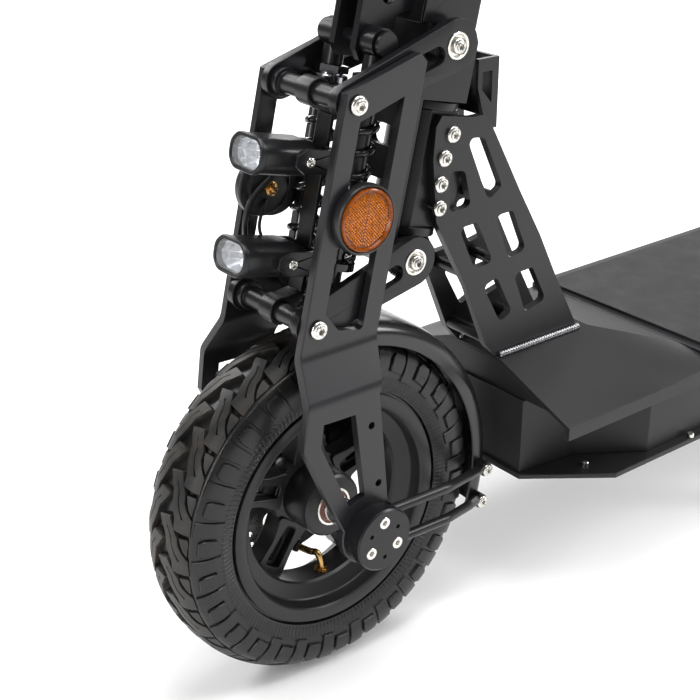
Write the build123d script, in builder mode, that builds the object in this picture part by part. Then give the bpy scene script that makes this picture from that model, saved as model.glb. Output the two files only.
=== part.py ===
from build123d import *
import os
from math import atan, cos, degrees, hypot, radians, sin

# Electric kick scooter with a parallelogram front suspension. Millimetres, +X forward, +Y left, +Z up.
# The origin is on the ground, midway between the two axles.

# ---- driving dimensions ----
wheelbase = 930.0
tyre_radius = 127.5
tyre_half_width = 29.0
rim_radius = 81.5              # bead seat
rim_lip = 86.0
rake = 13.0                     # steering axis and fork, leaning back from vertical

plate_thickness = 6.0           # fork, arm and neck plates
fork_face_y = 45.2              # outer face of the upper fork plate
leg_face_y = 62.2               # outer face of the lower fork leg
arm_face_y = 38.5               # outer face of the suspension arms
bracket_half = 24.0             # half width of the steering bracket
neck_face_y = 24.0              # outer face of the neck plates
pin_radius = 5.0                # every suspension pivot
running_gap = 0.05              # radial gap of a running fit

guard_radius = 136.0            # mudguards, inside
guard_thickness = 3.0
guard_half = 33.0
stay_radius = 3.5
stay_tips = ((-129.0, -8.0), (-125.0, -33.5))    # front mudguard screws, from the front axle

steering_f = -34.0              # steering axis, behind the raked line through the front axle
front_pivot_f = 63.0
rear_pivot_f = -16.0
upper_pivot_h = 282.0
lower_pivot_h = 140.0
arm_rise = 41.5                 # the rear pivots stand this much higher than the front ones
shock_f = 35.0
shock_y = 20.0
shock_top_h = 318.0

stem_f = -20.0
stem_top_h = 1000.0
bar_half = 300.0

deck_top_z = 178.0
deck_bottom_z = 108.0
deck_half = 100.0
body_half = 88.0
ridge_z = 200.0
nose_front_gap = 150.0          # front axle to the front edge of the deck

swing_pivot_gap = 203.0         # rear axle to the swingarm pivot
swing_pivot_z = 145.0

# ---- derived places ----
front_x = wheelbase / 2
rear_x = -wheelbase / 2
axle_z = tyre_radius
rake_cos = cos(radians(rake))
rake_sin = sin(radians(rake))
nose_x = front_x - nose_front_gap
tail_x = rear_x + swing_pivot_gap + 37
swing_x = rear_x + swing_pivot_gap
fork_front_axis = Axis((front_x, 0, axle_z), (0, 1, 0))
rear_axis = Axis((rear_x, 0, axle_z), (0, 1, 0))

os.makedirs("parts", exist_ok=True)


def raked_point(f, h, y=0.0):
    """The point f ahead of and h above the front axle, measured square to and along the raked fork."""
    return (front_x + f * rake_cos - h * rake_sin, y, axle_z + f * rake_sin + h * rake_cos)


def raked_plane(y):
    """A side view in the raked directions at width y; extruding goes towards -Y."""
    return Plane(origin=(front_x, y, axle_z), x_dir=(rake_cos, 0, rake_sin), z_dir=(0, -1, 0))


def raked_level(f, h, y=0.0):
    """A plane square to the steering axis; extruding goes up along it."""
    return Plane(origin=raked_point(f, h, y), x_dir=(rake_cos, 0, rake_sin), z_dir=(-rake_sin, 0, rake_cos))


def side_plane(y):
    """A level side view, X across and Z up, at width y; extruding goes towards -Y."""
    return Plane.XZ.offset(-y)


def wheel_section(x):
    """The half section of a wheel whose axle is at x: local X is the width, local Y the radius."""
    return Plane(origin=(x, 0, axle_z), x_dir=(0, 1, 0), z_dir=(1, 0, 0))


def shaft(plane_at, x, z, radius, y_from, y_to):
    """A round bar along Y from y_from down to y_to, in the open part."""
    with BuildSketch(plane_at(y_from)) as disc:
        with Locations((x, z)):
            Circle(radius)
    extrude(disc.sketch, amount=y_from - y_to)


def drill(plane_at, x, z, radius, y_from, y_to):
    """Cut a round hole along Y from y_from down to y_to out of the open part."""
    with BuildSketch(plane_at(y_from)) as disc:
        with Locations((x, z)):
            Circle(radius)
    extrude(disc.sketch, amount=y_from - y_to, mode=Mode.SUBTRACT)


def socket_screw(plane_at, x, z, face_y, length, radius=3.0, head=5.5, rise=3.5):
    """A button-head screw: its head stands on face_y and its shank runs inwards."""
    out = 1 if face_y > 0 else -1
    top = face_y + out * rise
    shaft(plane_at, x, z, head, max(face_y, top), min(face_y, top))
    shaft(plane_at, x, z, radius, max(face_y, face_y - out * length), min(face_y, face_y - out * length))
    with BuildSketch(plane_at(max(top, top - out * rise * 0.6))) as socket:
        with Locations((x, z)):
            RegularPolygon(head * 0.5, 6)
    extrude(socket.sketch, amount=rise * 0.6, mode=Mode.SUBTRACT)


# =====================================================================================
# Front wheel
# =====================================================================================

def tyre_profile():
    """The tyre's section, open towards the rim, drawn in the open sketch."""
    with BuildLine() as half:
        crown = (0, tyre_radius)
        shoulder = (tyre_half_width - 5, tyre_radius - 5.5)
        wall = (tyre_half_width, tyre_radius - 19)
        foot = (26.5, rim_lip + 1.5)
        bead_top = (23.5, rim_lip + 0.5)
        bead = (23.5, rim_radius)
        inner_bead = (17.5, rim_radius)
        inner_wall = (tyre_half_width - 5.5, tyre_radius - 20)
        inner_crown = (0, tyre_radius - 8)
        TangentArc(crown, shoulder, tangent=(1, 0))
        Line(shoulder, wall)
        ThreePointArc(wall, (tyre_half_width - 0.4, rim_lip + 12), foot)
        Polyline(foot, bead_top, bead, inner_bead)
        Line(inner_bead, inner_wall)
        Spline(inner_wall, (tyre_half_width - 12, tyre_radius - 10), inner_crown, tangents=((0, 1), (-1, 0)))
        Line(inner_crown, crown)
    make_face(half.line)
    mirror(about=Plane.YZ)


with BuildPart() as front_tyre:
    with BuildSketch(wheel_section(front_x)):
        tyre_profile()
    revolve(axis=fork_front_axis)
front_tyre.part.label = "front_tyre"
export_step(front_tyre.part, "parts/front_tyre.step")

rim_half = 26.8
hub_radius = 24.0
bearing_radius = 14.0
axle_radius = 6.0
spoke_y = -20.0
spoke_depth = 15.0
barrel_radius = 63.0


def rim_barrel():
    """The drop-centre rim ring's section, drawn in the open sketch."""
    with BuildLine() as half:
        Polyline(
            (0, 68), (11, 68), (14.5, 78), (17.5, rim_radius), (23.5, rim_radius), (24.5, rim_lip),
            (rim_half, rim_lip), (rim_half, 78), (22, 76), (20, 68), (14, barrel_radius), (0, barrel_radius),
            (0, 68),
        )
    make_face(half.line)
    mirror(about=Plane.YZ)


with BuildPart() as front_rim:
    with BuildSketch(wheel_section(front_x)):
        rim_barrel()
    revolve(axis=fork_front_axis)
    with BuildSketch(side_plane(spoke_y + spoke_depth)):
        with PolarLocations(0, 5):
            with Locations(((hub_radius + barrel_radius) / 2, 0)):
                Rectangle(barrel_radius - hub_radius + 8, 13)
    spokes = extrude(amount=spoke_depth, mode=Mode.PRIVATE)
    add(spokes.moved(Location((front_x, 0, axle_z))))
    shaft(side_plane, front_x, axle_z, hub_radius, 21, -31)
    drill(side_plane, front_x, axle_z, bearing_radius, 21, 11)
    drill(side_plane, front_x, axle_z, bearing_radius, -21, -31)
    drill(side_plane, front_x, axle_z, bearing_radius - 3, 21, -31)
front_rim.part.label = "front_rim"
export_step(front_rim.part, "parts/front_rim.step")

with BuildPart() as front_hub_bearings:
    for outer_y in (21, -21):
        shaft(side_plane, front_x, axle_z, bearing_radius, outer_y, outer_y - 10)
    drill(side_plane, front_x, axle_z, axle_radius + running_gap, 21, -31)
front_hub_bearings.part.label = "front_hub_bearings"
export_step(front_hub_bearings.part, "parts/front_hub_bearings.step")

disc_radius = 62.0

with BuildPart() as front_brake_disc:
    with BuildSketch(side_plane(-31)):
        with Locations((front_x, axle_z)):
            Circle(disc_radius)
            Circle(bearing_radius + 1, mode=Mode.SUBTRACT)
            with PolarLocations(34, 6):
                Circle(6.5, mode=Mode.SUBTRACT)
            with PolarLocations(50, 24):
                Circle(2.2, mode=Mode.SUBTRACT)
            with PolarLocations(56, 24, start_angle=7.5):
                Circle(2.2, mode=Mode.SUBTRACT)
    extrude(amount=2.2)
front_brake_disc.part.label = "front_brake_disc"
export_step(front_brake_disc.part, "parts/front_brake_disc.step")

# =====================================================================================
# Fork: bent side plates, pivot tubes, axle, lamps, horn, brake, mudguard
# =====================================================================================

joggle_top_z = 261.5
joggle_bottom_z = 235.0
bend_radius = 13.0


def fork_sheet(side):
    """The bent plate seen from the front, drawn in the open YZ sketch for side +1 or -1."""
    upper = fork_face_y
    lower = leg_face_y
    thick = plate_thickness
    with BuildLine() as section:
        outer = FilletPolyline(
            (side * upper, 470), (side * upper, joggle_top_z), (side * lower, joggle_bottom_z), (side * lower, 90),
            radius=bend_radius,
        )
        inner = FilletPolyline(
            (side * (upper - thick), 470), (side * (upper - thick), joggle_top_z - 2),
            (side * (lower - thick), joggle_bottom_z - 2), (side * (lower - thick), 90), radius=bend_radius,
        )
        Line(outer @ 0, inner @ 0)
        Line(outer @ 1, inner @ 1)
    make_face(section.line)


def fork_leg(side):
    """One fork side plate as a part, with its window, holes and axle bore."""
    with BuildPart() as leg:
        with BuildSketch(Plane.YZ.offset(front_x - 80)):
            fork_sheet(side)
        extrude(amount=180)
        with BuildSketch(raked_plane(80)):
            with BuildLine():
                Polyline(
                    (73, 288), (73.3, 92), (70.5, 63), (48, 33), (24, 2), (0, -24), (-24, 0),
                    (-10, 24), (15, 100), (12, 134), (13, 312), (20, 317), (73, 288),
                )
            make_face()
            with Locations((0, 0)):
                Circle(24)
            with BuildLine():
                Polyline((59, 272), (59, 150), (46, 139), (28, 139), (26, 141), (27, 290), (59, 272))
            make_face(mode=Mode.SUBTRACT)
            with BuildLine():
                Polyline((59, 82), (57.5, 66), (23.5, 20.5), (11.5, 27), (33.5, 87), (59, 82))
            make_face(mode=Mode.SUBTRACT)
            with Locations((17.7, 78), (1.5, 35.5)):
                Circle(2.6, mode=Mode.SUBTRACT)
            with Locations((front_pivot_f, upper_pivot_h), (front_pivot_f, lower_pivot_h)):
                Circle(pin_radius, mode=Mode.SUBTRACT)
            with Locations((0, 0)):
                Circle(8, mode=Mode.SUBTRACT)
        extrude(amount=160, mode=Mode.INTERSECT)
        outside = leg.faces().filter_by(Axis.Y).sort_by(Axis.Y)[-1 if side > 0 else 0]
        chamfer(outside.outer_wire().edges().filter_by(Axis.X, reverse=True), 0.8)
    return leg


fork_leg_left = fork_leg(1)
fork_leg_left.part.label = "fork_leg_left"
export_step(fork_leg_left.part, "parts/fork_leg_left.step")

fork_leg_right = fork_leg(-1)
fork_leg_right.part.label = "fork_leg_right"
export_step(fork_leg_right.part, "parts/fork_leg_right.step")

tube_end_y = arm_face_y - plate_thickness - 0.5
pivot_tube_radius = 7.0
pivot_collar_radius = 9.5

with BuildPart() as fork_pivot_tubes:
    for pivot_h in (upper_pivot_h, lower_pivot_h):
        shaft(raked_plane, front_pivot_f, pivot_h, pivot_tube_radius, tube_end_y, -tube_end_y)
        shaft(raked_plane, front_pivot_f, pivot_h, pivot_collar_radius, tube_end_y, tube_end_y - 5)
        shaft(raked_plane, front_pivot_f, pivot_h, pivot_collar_radius, -tube_end_y + 5, -tube_end_y)
        drill(raked_plane, front_pivot_f, pivot_h, pin_radius, tube_end_y, -tube_end_y)
fork_pivot_tubes.part.label = "fork_pivot_tubes"
export_step(fork_pivot_tubes.part, "parts/fork_pivot_tubes.step")

cap_outer_y = 77.4
cap_screw_pitch = 13.0

with BuildPart() as fork_fasteners:
    for pivot_h in (upper_pivot_h, lower_pivot_h):
        shaft(raked_plane, front_pivot_f, pivot_h, pin_radius - running_gap, fork_face_y, -fork_face_y)
        socket_screw(raked_plane, front_pivot_f, pivot_h, fork_face_y, 1, radius=4, head=6.2, rise=4)
        socket_screw(raked_plane, front_pivot_f, pivot_h, -fork_face_y, 1, radius=4, head=6.2, rise=4)
    shaft(side_plane, front_x, axle_z, axle_radius, 60, -60)
    shaft(side_plane, front_x, axle_z, 10, leg_face_y - plate_thickness, 21.5)
    shaft(side_plane, front_x, axle_z, 10, -34, -leg_face_y + plate_thickness)
    shaft(side_plane, front_x, axle_z, 8, leg_face_y, leg_face_y - plate_thickness)
    shaft(side_plane, front_x, axle_z, 8, -leg_face_y + plate_thickness, -leg_face_y)
    for side in (1, -1):
        for turn in (90, 210, 330):
            screw_x = front_x + cap_screw_pitch * cos(radians(turn))
            screw_z = axle_z + cap_screw_pitch * sin(radians(turn))
            low = side * (cap_outer_y - 3)
            shaft(side_plane, screw_x, screw_z, 4.4, max(low, side * cap_outer_y), min(low, side * cap_outer_y))
            inner = side * (leg_face_y + 7.5)
            shaft(side_plane, screw_x, screw_z, 2.4, max(low, inner), min(low, inner))
    for tip_x, tip_z in stay_tips:
        for side in (1, -1):
            wall = side * (guard_half - guard_thickness - 2)
            disc = side * (guard_half + 2 * stay_radius + 0.2)
            top = side * (guard_half + 2 * stay_radius + 3.4)
            shaft(side_plane, front_x + tip_x, axle_z + tip_z, 2.5 - running_gap, max(wall, disc), min(wall, disc))
            shaft(side_plane, front_x + tip_x, axle_z + tip_z, 4.6, max(disc, top), min(disc, top))
fork_fasteners.part.label = "fork_fasteners"
export_step(fork_fasteners.part, "parts/fork_fasteners.step")

with BuildPart() as axle_caps:
    for side in (1, -1):
        inner = side * leg_face_y
        outer = side * cap_outer_y
        step = side * (leg_face_y + 7.5)
        shaft(side_plane, front_x, axle_z, 15, max(inner, step), min(inner, step))
        shaft(side_plane, front_x, axle_z, 22.7, max(step, outer), min(step, outer))
        for turn in (90, 210, 330):
            screw_x = front_x + cap_screw_pitch * cos(radians(turn))
            screw_z = axle_z + cap_screw_pitch * sin(radians(turn))
            low = side * (cap_outer_y - 3)
            drill(side_plane, screw_x, screw_z, 4.4, max(low, outer), min(low, outer))
            drill(side_plane, screw_x, screw_z, 2.4, max(low, step), min(low, step))
            dimple_x = front_x + cap_screw_pitch * cos(radians(turn + 60))
            dimple_z = axle_z + cap_screw_pitch * sin(radians(turn + 60))
            dimple = side * (cap_outer_y - 1.5)
            drill(side_plane, dimple_x, dimple_z, 1.6, max(dimple, outer), min(dimple, outer))
    rims = axle_caps.edges().filter_by(GeomType.CIRCLE).filter_by(lambda e: abs(e.radius - 22.7) < 0.01)
    chamfer(rims.filter_by(lambda e: abs(abs(e.center().Y) - cap_outer_y) < 0.01), 1.2)
axle_caps.part.label = "axle_caps"
export_step(axle_caps.part, "parts/axle_caps.step")

reflector_f = 45.0
reflector_h = 213.0

with BuildPart() as reflectors:
    for side in (1, -1):
        rear_face = side * fork_face_y
        rim_face = side * (fork_face_y + 7)
        shaft(raked_plane, reflector_f, reflector_h, 23, max(rear_face, rim_face), min(rear_face, rim_face))
        drill(raked_plane, reflector_f, reflector_h, 20.5, max(rim_face, rim_face - side * 4),
              min(rim_face, rim_face - side * 4))
    for side in (1, -1):
        lens_face = side * (fork_face_y + 8)
        lens_back = side * (fork_face_y + 3.1)
        shaft(raked_plane, reflector_f, reflector_h, 20.4, max(lens_face, lens_back), min(lens_face, lens_back))
reflectors.part.label = "reflectors"
export_step(reflectors.part, "parts/reflectors.step")

lamp_f = 107.0
lamp_length = 56.0
lamp_heights = (241.0, 175.5)
lamp_width = 34.0
lamp_height = 23.0
lamp_ear_y = lamp_width / 2 + 3


def lamp_outline(width, height):
    """A rectangle with generously cut corners, drawn in the open sketch."""
    cut = height * 0.27
    with BuildLine() as outline:
        Polyline(
            (-width / 2, -height / 2 + cut), (-width / 2 + cut, -height / 2), (width / 2 - cut, -height / 2),
            (width / 2, -height / 2 + cut), (width / 2, height / 2 - cut), (width / 2 - cut, height / 2),
            (-width / 2 + cut, height / 2), (-width / 2, height / 2 - cut), (-width / 2, -height / 2 + cut),
        )
    make_face(outline.line)


def lamp_plane(f, h):
    """A plane square to a lamp's axis: local X is across, local Y is up; extruding goes forward."""
    return Plane(origin=raked_point(f, h), x_dir=(0, 1, 0), z_dir=(rake_cos, 0, rake_sin))


with BuildPart() as headlights:
    for lamp_h in lamp_heights:
        with BuildSketch(lamp_plane(lamp_f - lamp_length, lamp_h)) as rear_end:
            lamp_outline(lamp_width * 0.62, lamp_height * 0.62)
        with BuildSketch(lamp_plane(lamp_f - lamp_length + 16, lamp_h)) as waist:
            lamp_outline(lamp_width, lamp_height)
        loft(sections=[rear_end.sketch, waist.sketch], ruled=True)
        extrude(waist.sketch, amount=lamp_length - 16)
        with BuildSketch(lamp_plane(lamp_f - 4, lamp_h)) as mouth:
            lamp_outline(lamp_width - 5, lamp_height - 5)
        extrude(mouth.sketch, amount=4, mode=Mode.SUBTRACT)
headlights.part.label = "headlights"
export_step(headlights.part, "parts/headlights.step")

with BuildPart() as headlight_lenses:
    for lamp_h in lamp_heights:
        with BuildSketch(lamp_plane(lamp_f - 4, lamp_h)) as window:
            lamp_outline(lamp_width - 5, lamp_height - 5)
        extrude(window.sketch, amount=3)
headlight_lenses.part.label = "headlight_lenses"
export_step(headlight_lenses.part, "parts/headlight_lenses.step")

lamp_strip_f = 50.5
lamp_strip_half = 7.0
ear_reach = 82.0
ear_half_height = 8.0


def outline_plate(plane_at, y_from, y_to, points, mode=Mode.ADD):
    """Extrude a closed straight-sided outline along Y from y_from down to y_to, in the open part."""
    with BuildLine() as outline:
        Polyline(*points, close=True)
    with BuildSketch(plane_at(y_from)) as plate:
        make_face(outline.line)
    extrude(plate.sketch, amount=y_from - y_to, mode=mode)


with BuildPart() as lamp_bracket:
    back = lamp_strip_f - 3
    outline_plate(raked_plane, lamp_strip_half, -lamp_strip_half,
                  ((back, 148), (lamp_strip_f, 148), (lamp_strip_f, 274), (back, 274)))
    for pivot_h, inward in ((upper_pivot_h, -10), (lower_pivot_h, 10)):
        outline_plate(raked_plane, lamp_strip_half, -lamp_strip_half,
                      ((back, pivot_h + inward), (lamp_strip_f, pivot_h + inward * 1.3),
                       (front_pivot_f, pivot_h + inward * 0.9), (front_pivot_f - 11, pivot_h + inward * 0.2)))
        shaft(raked_plane, front_pivot_f, pivot_h, pivot_collar_radius, lamp_strip_half, -lamp_strip_half)
        drill(raked_plane, front_pivot_f, pivot_h, pivot_tube_radius, lamp_strip_half, -lamp_strip_half)
    for lamp_h in lamp_heights:
        low = lamp_h - ear_half_height
        high = lamp_h + ear_half_height
        outline_plate(raked_plane, lamp_ear_y, -lamp_ear_y,
                      ((back, low), (lamp_strip_f, low), (lamp_strip_f, high), (back, high)))
        for ear_y in (lamp_ear_y, 3 - lamp_ear_y):
            outline_plate(raked_plane, ear_y, ear_y - 3,
                          ((back, low), (ear_reach - 8, low), (ear_reach, low + 5), (ear_reach, high - 5),
                           (ear_reach - 8, high), (back, high)))
            drill(raked_plane, ear_reach - 10, lamp_h, 2.6, ear_y, ear_y - 3)
lamp_bracket.part.label = "lamp_bracket"
export_step(lamp_bracket.part, "parts/lamp_bracket.step")

horn_f = 65.0
horn_h = 214.0
horn_radius = 20.5

with BuildPart() as horn:
    horn_face = -fork_face_y + plate_thickness
    shaft(raked_plane, horn_f, horn_h, 8, horn_face + 4, horn_face)
    shaft(raked_plane, horn_f, horn_h, horn_radius, horn_face + 10, horn_face + 4)
    shaft(raked_plane, horn_f, horn_h, horn_radius - 6, horn_face + 14, horn_face + 10)
    edges = horn.edges().filter_by(GeomType.CIRCLE).filter_by(lambda e: abs(e.radius - horn_radius) < 0.01)
    fillet(edges, 1.5)
horn.part.label = "horn"
export_step(horn.part, "parts/horn.step")

caliper_turn = 150.0            # where the caliper sits round the disc, from straight ahead

with BuildPart() as front_caliper:
    caliper_x = front_x + (disc_radius - 6) * cos(radians(caliper_turn))
    caliper_z = axle_z + (disc_radius - 6) * sin(radians(caliper_turn))
    outline_plate(side_plane, -28.5, -44,
                  ((caliper_x - 16, caliper_z - 24), (caliper_x + 12, caliper_z - 24),
                   (caliper_x + 17, caliper_z + 22), (caliper_x - 10, caliper_z + 24)))
    drill(side_plane, front_x, axle_z, disc_radius + 1.5, -30.4, -33.9)
    outline_plate(side_plane, -44, -leg_face_y + plate_thickness,
                  ((caliper_x + 2, caliper_z - 8), (front_x - 2, axle_z + 26), (front_x - 4, axle_z + 44),
                   (caliper_x + 2, caliper_z + 14)))
    shaft(side_plane, caliper_x - 2, caliper_z + 4, 8, -44, -48)
front_caliper.part.label = "front_caliper"
export_step(front_caliper.part, "parts/front_caliper.step")

hose_radius = 2.5

with BuildPart() as brake_hose:
    stops = (
        raked_point(-36, 58, -50), raked_point(-30, 88, -53), raked_point(4, 132, -50), raked_point(6, 296, -50),
    )
    with BuildLine() as hose_line:
        hose_path = FilletPolyline(*stops, radius=(20, 60))
    with BuildSketch(Plane(origin=hose_path @ 0, z_dir=hose_path % 0)) as hose_round:
        Circle(hose_radius)
    sweep(hose_round.sketch, path=hose_line.line)
    with BuildSketch(raked_level(6, 292, -50)) as union:
        Circle(4.5)
    extrude(union.sketch, amount=14)
brake_hose.part.label = "brake_hose"
export_step(brake_hose.part, "parts/brake_hose.step")


def guard_profile():
    """The mudguard's channel section, width along local X and radius along local Y."""
    inner = guard_half - guard_thickness
    with BuildLine() as channel:
        Polyline(
            (-guard_half, guard_radius - 14), (-guard_half, guard_radius - 2),
            (-guard_half + 5, guard_radius + guard_thickness), (guard_half - 5, guard_radius + guard_thickness),
            (guard_half, guard_radius - 2), (guard_half, guard_radius - 14), (inner, guard_radius - 14),
            (inner, guard_radius - 4), (inner - 3, guard_radius), (-inner + 3, guard_radius),
            (-inner, guard_radius - 4), (-inner, guard_radius - 14), close=True,
        )
    make_face(channel.line)


def guard_part(wheel_x, start, sweep_angle):
    """A mudguard round the wheel at wheel_x, from start degrees above straight back, turning forwards."""
    across = Plane(origin=(wheel_x, 0, axle_z), x_dir=(0, -1, 0),
                   z_dir=(-sin(radians(start)), 0, -cos(radians(start))))
    with BuildPart() as guard:
        with BuildSketch(across):
            guard_profile()
        revolve(axis=Axis((wheel_x, 0, axle_z), (0, 1, 0)), revolution_arc=sweep_angle)
    return guard


front_mudguard = guard_part(front_x, -18, 104)
with front_mudguard:
    for tip_x, tip_z in stay_tips:
        drill(side_plane, front_x + tip_x, axle_z + tip_z, 2.5, guard_half + 1, -guard_half - 1)
front_mudguard.part.label = "front_mudguard"
export_step(front_mudguard.part, "parts/front_mudguard.step")

stay_y = leg_face_y + stay_radius + 0.2

with BuildPart() as mudguard_stays:
    for side in (1, -1):
        for (tip_x, tip_z), drop in zip(stay_tips, (12.8, -12.5)):
            fall = drop - tip_z
            tip_y = guard_half + stay_radius + 0.1
            root = (front_x - 15, side * stay_y, axle_z + drop)
            elbow = (front_x - 68, side * (stay_y - 1), axle_z + drop - 0.12 * fall)
            bend = (front_x - 101, side * (stay_y - 14), axle_z + drop - 0.5 * fall)
            tip = (front_x + tip_x, side * tip_y, axle_z + tip_z)
            with BuildLine() as stay_line:
                stay_path = FilletPolyline(root, elbow, bend, tip, radius=24)
            with BuildSketch(Plane(origin=stay_path @ 0, z_dir=stay_path % 0)) as round_bar:
                Circle(stay_radius)
            sweep(round_bar.sketch, path=stay_line.line)
            with Locations(Location(tip)):
                Cylinder(5.5, 2 * stay_radius, rotation=(90, 0, 0))
                Cylinder(2.5, 20, rotation=(90, 0, 0), mode=Mode.SUBTRACT)
            with Locations((front_x + tip_x, side * (tip_y + stay_radius + 6), axle_z + tip_z)):
                Cylinder(5.2, 12, rotation=(90, 0, 0), mode=Mode.SUBTRACT)
        ring_in = side * (leg_face_y + 0.2)
        ring_out = side * (leg_face_y + 7.2)
        shaft(side_plane, front_x, axle_z, 21, max(ring_in, ring_out), min(ring_in, ring_out))
        drill(side_plane, front_x, axle_z, 15.2, max(ring_in, ring_out), min(ring_in, ring_out))
mudguard_stays.part.label = "mudguard_stays"
export_step(mudguard_stays.part, "parts/mudguard_stays.step")

# =====================================================================================
# Suspension arms, shocks and steering bracket
# =====================================================================================

upper_rear_h = upper_pivot_h + arm_rise
lower_rear_h = lower_pivot_h + arm_rise
shock_bottom_h = lower_rear_h - arm_rise * (shock_f - rear_pivot_f) / (front_pivot_f - rear_pivot_f)
bearing_ring_radius = 9.0
arm_inner_y = arm_face_y - plate_thickness
boss_inner_y = bracket_half + 0.6


def arm_sides(rear_h, front_h):
    """The left and right plates of one pair of suspension arms, with bosses and bores, in the open part."""
    slot_f = rear_pivot_f + 25
    slope = (front_h - rear_h) / (front_pivot_f - rear_pivot_f)
    for side in (1, -1):
        outer = side * arm_face_y
        inner = side * arm_inner_y
        with BuildSketch(raked_plane(max(outer, inner))) as web:
            with Locations((rear_pivot_f, rear_h)):
                Circle(17)
            with Locations((front_pivot_f, front_h)):
                Circle(12)
            make_hull()
            with Locations((slot_f, rear_h + slope * (slot_f - rear_pivot_f))):
                SlotOverall(34, 12, rotation=degrees(atan(slope)), mode=Mode.SUBTRACT)
        extrude(web.sketch, amount=plate_thickness)
        boss = side * boss_inner_y
        shaft(raked_plane, rear_pivot_f, rear_h, 14, max(boss, inner), min(boss, inner))
        drill(raked_plane, rear_pivot_f, rear_h, bearing_ring_radius, max(boss, outer), min(boss, outer))
        drill(raked_plane, front_pivot_f, front_h, pin_radius, max(inner, outer), min(inner, outer))


with BuildPart() as upper_arms:
    arm_sides(upper_rear_h, upper_pivot_h)
upper_arms.part.label = "upper_arms"
export_step(upper_arms.part, "parts/upper_arms.step")

with BuildPart() as lower_arms:
    arm_sides(lower_rear_h, lower_pivot_h)
    shaft(raked_plane, shock_f, shock_bottom_h, pin_radius, arm_inner_y, -arm_inner_y)
    shaft(raked_plane, shock_f, shock_bottom_h, 8, 12, -12)
lower_arms.part.label = "lower_arms"
export_step(lower_arms.part, "parts/lower_arms.step")

crown_top_h = 333.0
crown_bottom_h = 173.0
head_top_h = 279.0
head_bottom_h = 200.0
cup_height = 6.0
steerer_radius = 12.5
wall_back_f = -9.0
wall_front_f = -3.0

with BuildPart() as steering_bracket:
    outline_plate(raked_plane, bracket_half, -bracket_half,
                  ((-48, head_top_h + cup_height + 1), (wall_back_f, head_top_h + cup_height + 1),
                   (wall_back_f, 192), (-40, 192), (-46, 186), (-40, crown_bottom_h + 2), (-10, crown_bottom_h),
                   (wall_front_f, crown_bottom_h + 6), (wall_front_f, 306), (-1, crown_top_h),
                   (-44, crown_top_h), (-48, 326)))
    with BuildSketch(raked_level(steering_f, 186)) as bar:
        Circle(steerer_radius)
    extrude(bar.sketch, amount=crown_top_h - 186 - 4)
    for pivot_h in (upper_rear_h, lower_rear_h):
        drill(raked_plane, rear_pivot_f, pivot_h, pin_radius, bracket_half, -bracket_half)
    for window_h in (222, 258):
        with BuildSketch(lamp_plane(wall_back_f - 1, window_h)) as window:
            SlotOverall(30, 14)
        extrude(window.sketch, amount=10, mode=Mode.SUBTRACT)
steering_bracket.part.label = "steering_bracket"
export_step(steering_bracket.part, "parts/steering_bracket.step")

with BuildPart() as rear_pivot_bolts:
    for pivot_h in (upper_rear_h, lower_rear_h):
        shaft(raked_plane, rear_pivot_f, pivot_h, pin_radius, arm_face_y + 0.5, -arm_face_y - 0.5)
        socket_screw(raked_plane, rear_pivot_f, pivot_h, arm_face_y + 0.5, 1, radius=4, head=6.5, rise=3)
        socket_screw(raked_plane, rear_pivot_f, pivot_h, -arm_face_y - 0.5, 1, radius=4, head=6.5, rise=3)
        for ring_y in (arm_face_y, -boss_inner_y):
            ring_end = ring_y - (arm_face_y - boss_inner_y)
            shaft(raked_plane, rear_pivot_f, pivot_h, bearing_ring_radius - running_gap, ring_y, ring_end)
rear_pivot_bolts.part.label = "rear_pivot_bolts"
export_step(rear_pivot_bolts.part, "parts/rear_pivot_bolts.step")

tower_outer_y = 13.0
tower_thickness = 5.0
tower_top_h = 430.0
base_front_f = 5.0

with BuildPart() as shock_tower:
    for outer in (tower_outer_y, tower_thickness - tower_outer_y):
        outline_plate(raked_plane, outer, outer - tower_thickness,
                      ((base_front_f, 340), (base_front_f, tower_top_h), (30, tower_top_h), (46, 400), (46, 312),
                       (41, 305), (22, 305), (17, 310), (17, 336)))
        for slot_h in (356, 396):
            with BuildSketch(raked_plane(outer)) as slot:
                with Locations((26, slot_h)):
                    SlotOverall(30, 11, rotation=90)
            extrude(slot.sketch, amount=tower_thickness, mode=Mode.SUBTRACT)
        drill(raked_plane, shock_f, shock_top_h, pin_radius, outer, outer - tower_thickness)
    for bar_f, bar_h in ((40, 345), (40, 385), (12, 420)):
        shaft(raked_plane, bar_f, bar_h, 4, tower_outer_y - 1, 1 - tower_outer_y)
    shaft(raked_plane, shock_f, shock_top_h, pin_radius, 27.5, -27.5)
    for cap_y in (30.5, -27.5):
        shaft(raked_plane, shock_f, shock_top_h, 8, cap_y, cap_y - 3)
shock_tower.part.label = "shock_tower"
export_step(shock_tower.part, "parts/shock_tower.step")

eye_half = 6.0
spring_top_h = 286.0
spring_bottom_h = 178.0
spring_wire = 1.7
spring_outer = 11.2
perch_radius = 11.3


with BuildPart() as shock_bodies:
    for side in (1, -1):
        middle = side * shock_y
        shaft(raked_plane, shock_f, shock_top_h, 9.5, middle + eye_half, middle - eye_half)
        with BuildSketch(raked_level(shock_f, spring_top_h, middle)) as perch:
            Circle(perch_radius)
        extrude(perch.sketch, amount=5)
        with BuildSketch(raked_level(shock_f, 228, middle)) as barrel:
            Circle(7)
        extrude(barrel.sketch, amount=shock_top_h - 228 - 8)
        drill(raked_plane, shock_f, shock_top_h, pin_radius + running_gap, middle + eye_half, middle - eye_half)
        with BuildSketch(raked_level(shock_f, 228, middle)) as bore:
            Circle(4.3)
        extrude(bore.sketch, amount=60, mode=Mode.SUBTRACT)
shock_bodies.part.label = "shock_bodies"
export_step(shock_bodies.part, "parts/shock_bodies.step")

open_pivot_gap = 1.0

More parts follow.
